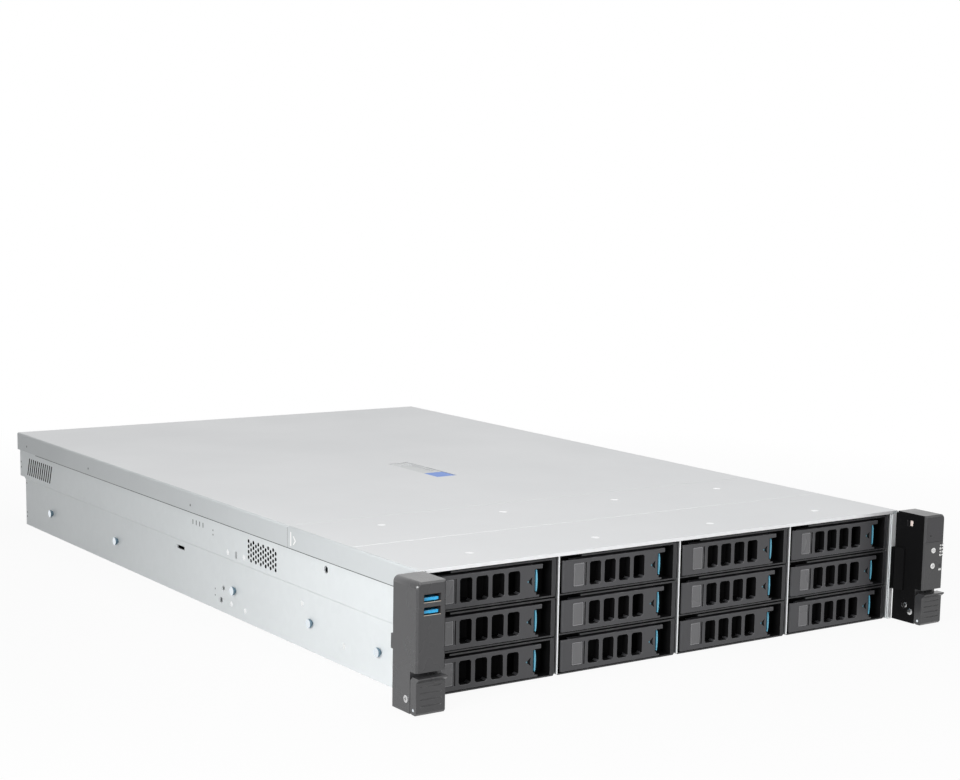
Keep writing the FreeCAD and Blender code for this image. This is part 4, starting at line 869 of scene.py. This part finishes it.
class SERVER_OT_cover_marks(bpy.types.Operator):
    """Adds the flush rivets, dimples and stamped signs of the covers and the side, and strips and sheets of
    painted shade in their gaps and behind the vents
    """

    bl_idname = "server.cover_marks"
    bl_label = "Cover marks"

    def execute(self, context):
        rivet = detail_settings().rivet_radius
        proud = detail_settings().mark_depth
        columns = [middle("carrier_%d" % number).x for number in range(1, 5)]
        mesh = bmesh.new()
        for x in columns:
            for depth in (31.0, 146.0):
                flush_rivet(mesh, (x, behind_front(depth), TOP), (0, 0, 1), rivet, proud)
        piece("cover_rivets", mesh, "rivet", "chassis")
        self.side_rivets(proud)
        self.dimples(proud)
        self.stamps(proud)
        self.seam_shades()
        self.add_vent_shade()
        return {"FINISHED"}

    def seam_shades(self):
        """Strips of painted shade in the gaps between the two covers and under their flanges."""
        side, seam = low("rear_cover").x, low("rear_cover").y
        foot = low("front_cover").z
        gap = bmesh.new()
        for way in (1, -1):
            first, second = sorted((way * (side + 0.1 * MM), way * (side + 0.9 * MM)))
            slab(gap, (first, seam - 0.42 * MM, foot + 0.1 * MM), (second, seam + 0.02 * MM, TOP - 1.2 * MM))
        slab(gap, (side + 1.5 * MM, seam - 0.38 * MM, TOP - 0.9 * MM),
             (-side - 1.5 * MM, seam - 0.02 * MM, TOP - 0.2 * MM))
        piece("cover_seam_shade", gap, "pit", "chassis")
        under = bmesh.new()
        for way in (1, -1):
            first, second = sorted((way * (side + 1.05 * MM), way * (side + 1.36 * MM)))
            slab(under, (first, SHEET_FRONT + 3 * MM, foot - 0.95 * MM),
                 (second, high("chassis_base").y - 40 * MM, foot + 0.3 * MM))
        piece("flange_gap_shade", under, "pit", "chassis")

    def add_vent_shade(self):
        """Thin sheets of painted shade behind the vents in the side walls, so that the holes look dark."""
        wall = low("rear_cover").x + 2.55 * MM
        mesh = bmesh.new()
        for (first, last), foot, top in zip(vent_spans(), (46.5, 47.0), (68.0, 66.5)):
            slab(mesh, (wall, first, foot * MM), (wall + 0.2 * MM, last, top * MM))
        piece("vent_shade_sheets", mesh, "shade", "chassis")

    def side_rivets(self, proud):
        """Rivets and screw ends in the walls, on the lower band and on the upper one."""
        lower, upper = LOWER_BAND, UPPER_BAND
        places = ((271.0, 9.4, lower), (248.0, 8.6, lower), (159.0, 32.5, lower), (99.0, 14.5, lower),
                  (275.0, 49.3, upper), (248.0, 49.9, upper))
        mesh = bmesh.new()
        for depth, height, band in places:
            flush_rivet(mesh, on_side(depth, height, band), (-1, 0, 0), 2.1 * MM, 4 * proud)
        piece("side_rivets", mesh, "rivet", "chassis")

    def dimples(self, proud):
        """Small pits along the rear cover's flange and at the rear edge of the wall, drawn as dark discs of
        painted shade.
        """
        mesh = bmesh.new()
        for depth in (692.0, 544.0, 338.0):
            flush_rivet(mesh, on_side(depth, 76.0, 0.0), (-1, 0, 0), 1.0 * MM, 0.5 * proud)
        piece("flange_pits", mesh, "pit", "rear_cover")
        mesh = bmesh.new()
        for depth, height, band in (
                (699.5, 8.0, LOWER_BAND), (699.5, 12.0, LOWER_BAND), (699.5, 40.0, LOWER_BAND),
                (710.5, 54.0, UPPER_BAND), (710.5, 59.0, UPPER_BAND)):
            flush_rivet(mesh, on_side(depth, height, band), (-1, 0, 0), 0.8 * MM, 0.5 * proud)
        for depth, height, band in ((299.0, 11.0, LOWER_BAND), (299.0, 16.0, LOWER_BAND),
                                    (300.5, 62.0, UPPER_BAND), (300.5, 58.5, UPPER_BAND)):
            flush_rivet(mesh, on_side(depth, height, band), (-1, 0, 0), 0.7 * MM, 0.5 * proud)
        piece("wall_pits", mesh, "pit", "chassis")

    def stamps(self, proud):
        """A row of stamped dashes on the wall, dark with painted shade, and the bar and arrow head beside
        the covers' seam.
        """
        mesh = bmesh.new()
        for step in range(4):
            spot = on_side(318.0 + 6.0 * step, 63.0, UPPER_BAND)
            plate(mesh, spot, *LEFT, rounded_rectangle(1.1, 4.0, 0.5), proud)
        piece("wall_stamps", mesh, "pit", "chassis")
        mesh = bmesh.new()
        plate(mesh, on_side(172.0, 77.5, 0.0), *LEFT,
              rounded_rectangle(1.7, 10.5, 0.8), 2 * proud)
        head = [(-2.4, 3.2), (-1.0, 3.2), (2.2, 0.0), (-1.0, -3.2), (-2.4, -3.2), (0.4, 0.0)]
        plate(mesh, on_side(166.5, 77.0, 0.0), *LEFT,
              in_metres(head), 2 * proud)
        piece("seam_signs", mesh, "mark", "chassis", rounding=0.05 * MM)


# ------------------------------------------------------------------ operators: details on the ears
def crossed_screw(mesh, slots, spot, direction, radius, height):
    """A low domed screw head, and in a second mesh its cross recess as a dark cross of painted shade."""
    lathe(mesh, spot, direction, ((radius, -0.3 * MM), (radius, 0.45 * height),
                                  (0.86 * radius, 0.85 * height), (0.5 * radius, height)), 24)
    across, up = axes_for(direction)
    top = Vector(spot) + Vector(direction).normalized() * (height - 0.03 * MM)
    for first, second in ((across, up), (up, -across)):
        plate(slots, top, first, second, [(a * radius, b * radius) for a, b in
              ((-0.5, -0.09), (0.5, -0.09), (0.5, 0.09), (-0.5, 0.09))], 0.06 * MM)


class SERVER_OT_ear_details(bpy.types.Operator):
    """Adds the screws, status signs, button signs and port contacts of the rack ears"""

    bl_idname = "server.ear_details"
    bl_label = "Ear details"

    def execute(self, context):
        self.screws()
        self.right_face()
        self.button_signs()
        self.port_contacts()
        self.side_window()
        return {"FINISHED"}

    def screws(self):
        """A sunk screw in each ear's inner side and a crossed head on each lever's cross pin."""
        heads = bmesh.new()
        slots = bmesh.new()
        ring = bmesh.new()
        inner = low("right_ear_lever").x
        outer = high("right_ear_lever").x
        for side in (-1, 1):
            sunk = Vector((side * (inner + 2.2 * MM), EAR_FRONT + 17.9 * MM, low("right_ear").z + 13.2 * MM))
            crossed_screw(heads, slots, sunk, (-side, 0, 0), 2.5 * MM, 1.4 * MM)
            for face, way in ((inner - 0.7 * MM, -1), (outer + 0.7 * MM, 1)):
                spot = Vector((side * face, EAR_FRONT + 11.2 * MM, low("right_ear").z + 9.1 * MM))
                crossed_screw(heads, slots, spot, (side * way, 0, 0), 2.2 * MM, 0.25 * MM)
                lathe(ring, spot, (side * way, 0, 0), ((2.42 * MM, -0.72 * MM), (2.42 * MM, 0.05 * MM),
                                                      (2.25 * MM, 0.1 * MM)), 24)
        piece("ear_screw_heads", heads, "screw", "chassis")
        piece("ear_screw_slots", slots, "black", "chassis")
        piece("ear_screw_rings", ring, "rivet", "chassis")

    def right_face(self):
        """The printed status signs, the light pipe, and the sensor hole and the pin hole as black discs of
        painted shade.
        """
        lo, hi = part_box("status_lights")
        proud = detail_settings().mark_depth
        mesh = bmesh.new()
        for row in range(4):
            z = hi.z - (1.5 + 2.55 * row) * MM
            for column, x in enumerate((lo.x + 0.7 * MM, lo.x + 3.0 * MM)):
                if (row + column) % 2:
                    outline = rounded_rectangle(1.6, 1.8, 0.3)
                else:
                    outline = rounded_rectangle(1.8, 1.4, 0.6)
                plate(mesh, (x, lo.y, z), *FRONT, outline, proud)
        piece("status_signs", mesh, "mark", "chassis")
        mesh = bmesh.new()
        below = lo.z - 10.0 * MM
        plate(mesh, (middle("status_lights").x - 0.8 * MM, EAR_FRONT, below), *FRONT,
              rounded_rectangle(3.0, 1.6, 0.7), 3 * proud)
        piece("light_pipe", mesh, "mark", "chassis", rounding=0.1 * MM)
        mesh = bmesh.new()
        lathe(mesh, (middle("status_lights").x - 0.8 * MM, EAR_FRONT, below + 3.2 * MM), (0, -1, 0),
              ((1.15 * MM, -0.2 * MM), (1.15 * MM, 0.04 * MM), (0.9 * MM, 0.05 * MM)), 20)
        lathe(mesh, (low("right_ear_lever").x + 7.1 * MM, EAR_FRONT + 0.5 * MM, TOP - 16.1 * MM), (0, -1, 0),
              ((0.9 * MM, -0.2 * MM), (0.9 * MM, 0.04 * MM), (0.7 * MM, 0.05 * MM)), 20)
        piece("ear_holes", mesh, "black", "chassis")

    def button_signs(self):
        """A grey ring and a black collar for each button of the right ear."""
        for node in ("power_button", "id_button"):
            lo = low(node)
            centre = Vector((middle(node).x, lo.y, middle(node).z))
            mesh = bmesh.new()
            inner, outer = 0.55 * MM, 0.85 * MM
            for step in range(16):
                start, end = (math.radians(22.5 * turn) for turn in (step, step + 1))
                corners = [(outer * math.cos(start), outer * math.sin(start)),
                           (outer * math.cos(end), outer * math.sin(end)),
                           (inner * math.cos(end), inner * math.sin(end)),
                           (inner * math.cos(start), inner * math.sin(start))]
                plate(mesh, centre, *FRONT, corners, 0.04 * MM)
            piece(node + "_sign", mesh, "mark_grey", node)
            mesh = bmesh.new()
            lathe(mesh, centre, (0, -1, 0), in_metres(((2.42, -1.2), (2.42, -0.42), (2.25, -0.38))))
            piece(node + "_collar", mesh, "black", "chassis")

    def port_contacts(self):
        """Five plated contacts on each port's tongue."""
        mesh = bmesh.new()
        for drop in (10.5, 18.8):
            for step in range(-2, 3):
                spot = (middle("usb_ports").x + step * 1.9 * MM, EAR_FRONT, TOP - drop * MM)
                block(mesh, spot, (-0.4, 1.9, 0), (0.4, 8, 0.08))
        piece("port_contacts", mesh, "stud", "chassis")

    def side_window(self):
        """The pale metal contact behind the small window in the right ear's inner side."""
        inner = low("right_ear_lever").x
        mesh = bmesh.new()
        slab(mesh, (inner + 0.5 * MM, EAR_FRONT + 13.4 * MM, TOP - 10.2 * MM),
             (inner + 3.9 * MM, EAR_FRONT + 16.2 * MM, TOP - 5.8 * MM))
        piece("window_contact", mesh, "pink_metal", "chassis", rounding=0.4 * MM)


# ------------------------------------------------------------------ operators: details on the carriers
class SERVER_OT_carrier_details(bpy.types.Operator):
    """Adds each lever's framed window and its arrow sign"""

    bl_idname = "server.carrier_details"
    bl_label = "Carrier details"

    def execute(self, context):
        for number in BAYS:
            lo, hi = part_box("carrier_lever_%d" % number)
            height = (lo.z + hi.z) / 2
            self.window(number, Vector((lo.x + 14.4 * MM, lo.y + 0.4 * MM, height + 0.25 * MM)))
            self.arrow(number, Vector((lo.x + 80.4 * MM, lo.y, height)))
        return {"FINISHED"}

    def flat(self, name, number, centre, outline, depth, material, rounding=0.0):
        """A flat piece on the face of a lever, its depth and rounding in millimetres."""
        mesh = bmesh.new()
        plate(mesh, centre, *FRONT, outline, depth * MM)
        piece("%s_%d" % (name, number), mesh, material, "carrier_lever_%d" % number,
              rounding=rounding * MM)

    def window(self, number, centre):
        self.flat("window_border", number, centre, rounded_rectangle(9.0, 16.0, 0.8), 0.1, "window_rim")
        self.flat("window_pane", number, centre, rounded_rectangle(7.8, 14.8, 0.6), 0.28, "window", 0.12)

    def arrow(self, number, centre):
        """A sunk arrow head that points at the hinge, drawn as a flat plate of painted shade, with a pale
        blue tip.
        """
        head = [(-1.7, -0.5), (1.6, -2.9), (1.0, 0.0), (1.6, 2.9), (-1.7, 0.5)]
        self.flat("release_arrow_shade", number, centre, in_metres(head), 0.05, "shade")
        tip = [(-2.7, 0.0), (-1.7, -0.7), (-1.3, 0.0), (-1.7, 0.7)]
        self.flat("arrow_tip", number, centre, in_metres(tip), 0.06, "arrow_tip")


# ------------------------------------------------------------------ operators: parts on the boards
class SERVER_OT_board_parts(bpy.types.Operator):
    """Adds the chips, capacitors, slots and connectors of the mainboard and its memory"""

    bl_idname = "server.board_parts"
    bl_label = "Board parts"

    def execute(self, context):
        self.top = low("mainboard").z + BOARD_RISE
        self.left = low("mainboard").x
        self.front = low("mainboard").y
        self.memory()
        self.slots()
        self.small_parts()
        self.backplane_parts()
        return {"FINISHED"}

    def place(self, across, back):
        """A place on the board, in millimetres from its front left corner."""
        return self.left + across * MM, self.front + back * MM

    def memory(self):
        """Sockets and chips for the solids that stand for the memory modules."""
        sockets = bmesh.new()
        latches = bmesh.new()
        chips = bmesh.new()
        for _, lo, hi in solids("mainboard"):
            if not (hi.x - lo.x < 4 * MM and hi.y - lo.y > 100 * MM):
                continue
            for x0, x1 in ((lo.x - 1.4 * MM, lo.x - 0.05 * MM), (hi.x + 0.05 * MM, hi.x + 1.4 * MM)):
                slab(sockets, (x0, lo.y - 4 * MM, lo.z), (x1, hi.y + 4 * MM, lo.z + 6.5 * MM), 0.2 * MM)
            for y0 in (lo.y - 5.5 * MM, hi.y + 0.4 * MM):
                slab(latches, (lo.x - 1.2 * MM, y0, lo.z),
                     (hi.x + 1.2 * MM, y0 + 5.1 * MM, lo.z + 17 * MM), 0.5 * MM)
            for step in range(9):
                y0 = lo.y + (5 + 14.0 * step) * MM
                for x0, x1 in ((lo.x - 0.25 * MM, lo.x + 0.1 * MM), (hi.x - 0.1 * MM, hi.x + 0.25 * MM)):
                    slab(chips, (x0, y0, lo.z + 12 * MM), (x1, y0 + 10.5 * MM, lo.z + 25 * MM))
        piece("memory_sockets", sockets, "chip", "chassis")
        piece("memory_latches", latches, "socket", "chassis", rounding=0.2 * MM)
        piece("memory_chips", chips, "chip", "chassis")

    def slots(self):
        """Card slots, cable headers and the power inlets at the board's edges."""
        mesh = bmesh.new()
        keys = bmesh.new()
        for across in (28.0, 62.0, 196.0, 230.0):
            spot = (*self.place(across, 262.0), self.top)
            block(mesh, spot, (0, 0, 0), (7.4, 89, 11.2), 0.4 * MM)
            block(keys, spot, (3.0, 3, 10.9), (4.4, 86, 11.25))
        for step in range(4):
            spot = (*self.place(300.0, 40.0 + 34.0 * step), self.top)
            block(mesh, spot, (0, 0, 0), (12, 27, 9.5), 0.5 * MM)
            block(keys, spot, (3.5, 2.5, 9.2), (8.5, 24.5, 9.55))
        piece("card_slots", mesh, "socket", "chassis", rounding=0.2 * MM)
        # Painted shade: the openings of the slots and headers are black strips.
        piece("slot_mouths", keys, "black", "chassis")

    def small_parts(self):
        """Capacitors, chokes and chips, placed in rows with a little seeded scatter."""
        dice = random.Random(24)
        cans = bmesh.new()
        tops = bmesh.new()
        blocks = bmesh.new()
        grey = bmesh.new()
        for middle_across in (86.0, 254.0):
            for step in range(9):
                x, y = self.place(middle_across - 40 + 10.0 * step, 20.0 + dice.uniform(-1.0, 1.0))
                spot = (x, y, self.top)
                lathe(cans, spot, (0, 0, 1), in_metres(((3.1, 0), (3.1, 7.6), (2.8, 8.0))), 20)
                block(grey, spot, (-3.4, 6, 0), (3.4, 12.8, 5.5), 0.4 * MM)
                block(blocks, spot, (-2.5, 14, 0), (2.5, 19, 1.0))
        for across, back, size in (
                (160.0, 214.0, (30.0, 30.0, 2.2)), (118.0, 232.0, (17.0, 17.0, 1.4)),
                (264.0, 300.0, (23.0, 23.0, 1.8)), (128.0, 372.0, (14.0, 14.0, 1.2)),
                (100.0, 330.0, (9.0, 6.0, 1.2)), (290.0, 360.0, (12.0, 9.0, 1.3))):
            block(blocks, (*self.place(across, back), self.top), (0, 0, 0), size, 0.15 * MM)
        for fin in range(9):
            block(tops, (*self.place(162.0 + 3.2 * fin, 216.0), self.top), (0, 0, 2.2), (1.2, 26, 16))
        block(tops, (*self.place(161.0, 215.0), self.top), (0, 0, 2.2), (28.4, 28, 4.2))
        for _ in range(170):
            x, y = self.place(dice.uniform(6, 336), dice.uniform(178, 420))
            wide = dice.choice((0.8, 1.2, 1.6)) * MM
            slab(grey, (x, y, self.top), (x + 2 * wide, y + wide, self.top + 0.6 * wide))
        cell = (*self.place(282.0, 402.0), self.top)
        lathe(tops, cell, (0, 0, 1), in_metres(((10.0, 1.2), (10.0, 4.0), (9.4, 4.4))), 36)
        lathe(blocks, cell, (0, 0, 1), in_metres(((11.2, 0), (11.2, 1.2))), 36)
        piece("capacitors", cans, "sink", "chassis")
        piece("small_heat_sink", tops, "sink", "chassis")
        piece("board_chips", blocks, "chip", "chassis")
        piece("chokes", grey, "mark_grey", "chassis")

    def backplane_parts(self):
        """Power and data headers on the rear side of the drive board."""
        back = high("backplane").y
        mesh = bmesh.new()
        for column in range(4):
            x = middle("carrier_%d" % (column + 1)).x
            for z in (18.0, 46.0):
                block(mesh, (x, back, 0), (-44, 0, z), (-26, 8, z + 9))
        piece("backplane_headers", mesh, "socket", "chassis", rounding=0.3 * MM)


# ------------------------------------------------------------------ operators: details at the rear
class SERVER_OT_rear_details(bpy.types.Operator):
    """Adds the bracket screws, jack contacts, port faces and inlet blades at the rear"""

    bl_idname = "server.rear_details"
    bl_label = "Rear details"

    def execute(self, context):
        self.bracket_screws()
        self.jacks()
        self.ports()
        self.supplies()
        return {"FINISHED"}

    def bracket_screws(self):
        """A crossed screw at both ends of every blank bracket."""
        heads = bmesh.new()
        slots = bmesh.new()
        face = high("rear_wall").y
        left = low("rear_wall").x + 7.0 * MM
        for column in range(2):
            for level in range(2):
                z = (48.5 + 19.6 * level + 7.9) * MM
                for across in (2.0, 116.0):
                    spot = Vector((left + (152.0 * column + across) * MM, face, z))
                    crossed_screw(heads, slots, spot, (0, 1, 0), 2.6 * MM, 1.5 * MM)
        piece("bracket_screws", heads, "screw", "chassis")
        piece("bracket_screw_slots", slots, "black", "chassis")

    def jacks(self):
        """Eight spring contacts and two small lamps for each network jack."""
        contacts = bmesh.new()
        lamps = bmesh.new()
        board = low("mainboard")
        face = high("mainboard").y
        base = board.z + BOARD_RISE
        for jack in range(3):
            centre = board.x + (12.0 + 19.6 * jack + 7.8) * MM
            for wire in range(8):
                block(contacts, (centre + (wire - 3.5) * 1.02 * MM, face, base),
                      (-0.2, -11, 8.4), (0.2, -4, 8.8))
            for side in (-1, 1):
                plate(lamps, (centre + side * 4.6 * MM, face, base + 11.4 * MM), *REAR,
                      rounded_rectangle(3.2, 1.7, 0.3), 0.08 * MM)
        piece("jack_contacts", contacts, "contact", "chassis")
        piece("jack_lamps", lamps, "lamp_green", "chassis")

    def ports(self):
        """The face of the screen port with its pin holes, and the mouths of the stacked ports, the holes and
        mouths drawn as black painted shade.
        """
        board = low("mainboard")
        face = high("mainboard").y - 0.3 * MM
        base = board.z + BOARD_RISE
        centre = Vector((board.x + 94.0 * MM, face, base + 6.1 * MM))
        shell = bmesh.new()
        outline = [(-8.2, 3.9), (8.2, 3.9), (8.9, 3.2), (7.6, -3.2),
                   (6.8, -3.9), (-6.8, -3.9), (-7.6, -3.2), (-8.9, 3.2)]
        plate(shell, centre, *REAR, in_metres(outline), 0.3 * MM)
        piece("screen_port_face", shell, "pad", "chassis", rounding=0.1 * MM)
        holes = bmesh.new()
        for row in range(3):
            for pin in range(5):
                x = centre.x + (pin - 2 + (0.25 if row == 1 else 0.0)) * 2.3 * MM
                lathe(holes, (x, face + 0.3 * MM, centre.z + (1 - row) * 1.98 * MM), (0, 1, 0),
                      ((0.5 * MM, -0.1 * MM), (0.5 * MM, 0.03 * MM)), 12)
        for side in (-1, 1):
            lathe(holes, (centre.x + side * 12.6 * MM, face, centre.z), (0, 1, 0),
                  ((1.5 * MM, -0.1 * MM), (1.5 * MM, 0.04 * MM)), 18)
        for level in (4.1, 11.1):
            plate(holes, (board.x + 125.25 * MM, face, base + level * MM), *REAR,
                  rounded_rectangle(12.0, 5.0, 0.3), 0.05 * MM)
        piece("port_mouths", holes, "black", "chassis")
        tongues = bmesh.new()
        for level in (5.2, 12.2):
            block(tongues, (board.x, face, base), (120.3, 0.04, level - 0.9), (130.2, 0.16, level + 0.9))
        piece("port_tongues", tongues, "tongue", "chassis")

    def supplies(self):
        """Three blades and a rim for each inlet, and each supply's lamp."""
        for number in (1, 2):
            node = "power_supply_%d" % number
            lo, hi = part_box(node)
            rear = hi.y - 22.0 * MM
            centre = Vector((hi.x - 20.0 * MM, rear, (lo.z + hi.z) / 2))
            blades = bmesh.new()
            for across, up in ((-7.0, -1.5), (0.0, 2.5), (7.0, -1.5)):
                block(blades, (centre.x + across * MM, rear, centre.z + up * MM),
                      (-1.0, -13.9, -2.0), (1.0, -2.0, 2.0))
            piece("inlet_blades_%d" % number, blades, "contact", node, rounding=0.2 * MM)
            rims = bmesh.new()
            wide, tall, rim = 12.0, 8.0, 1.3
            for x0, x1, z0, z1 in ((-wide, wide, tall, tall + rim), (-wide, wide, -tall - rim, -tall),
                                   (-wide - rim, -wide, -tall - rim, tall + rim),
                                   (wide, wide + rim, -tall - rim, tall + rim)):
                block(rims, (centre.x, rear, centre.z), (x0, 0, z0), (x1, 0.8, z1))
            lathe(rims, (lo.x + 42.0 * MM, rear, lo.z + 6.0 * MM), (0, 1, 0),
                  ((1.9 * MM, -0.1 * MM), (1.9 * MM, 0.3 * MM), (1.6 * MM, 0.4 * MM)), 20)
            piece("inlet_frame_%d" % number, rims, "black", node, rounding=0.15 * MM)
            lamp = bmesh.new()
            lathe(lamp, (lo.x + 42.0 * MM, rear + 0.3 * MM, lo.z + 6.0 * MM), (0, 1, 0),
                  ((1.2 * MM, 0.0), (1.2 * MM, 0.3 * MM), (0.7 * MM, 0.6 * MM)), 20)
            piece("supply_lamp_%d" % number, lamp, "lamp_green", node)


CLASSES = [
    ServerStageSettings, ServerFinishSettings, ServerDetailSettings,
    SERVER_OT_stage, SERVER_OT_sheet_metal, SERVER_OT_carriers, SERVER_OT_ears, SERVER_OT_inside,
    SERVER_OT_cover_marks, SERVER_OT_ear_details, SERVER_OT_carrier_details, SERVER_OT_board_parts,
    SERVER_OT_rear_details,
]


class SERVER_PT_pieces(bpy.types.Panel):
    """Lists the operators that dress the server"""

    bl_label = "Rack server"
    bl_idname = "SERVER_PT_pieces"
    bl_space_type = "VIEW_3D"
    bl_region_type = "UI"
    bl_category = "Server"

    def draw(self, context):
        for made in OPERATORS:
            self.layout.operator(made.bl_idname)


OPERATORS = [made for made in CLASSES if issubclass(made, bpy.types.Operator)]
SETTINGS = {"server_stage": ServerStageSettings, "server_finish": ServerFinishSettings,
            "server_detail": ServerDetailSettings}


def register():
    for made in CLASSES + [SERVER_PT_pieces]:
        bpy.utils.register_class(made)
    for name, group in SETTINGS.items():
        setattr(bpy.types.Scene, name, bpy.props.PointerProperty(type=group))


def unregister():
    for name in SETTINGS:
        delattr(bpy.types.Scene, name)
    for made in reversed(CLASSES + [SERVER_PT_pieces]):
        bpy.utils.unregister_class(made)


def main():
    register()
    for made in OPERATORS:
        area, name = made.bl_idname.split(".")
        getattr(getattr(bpy.ops, area), name)()


if __name__ == "__main__":
    main()
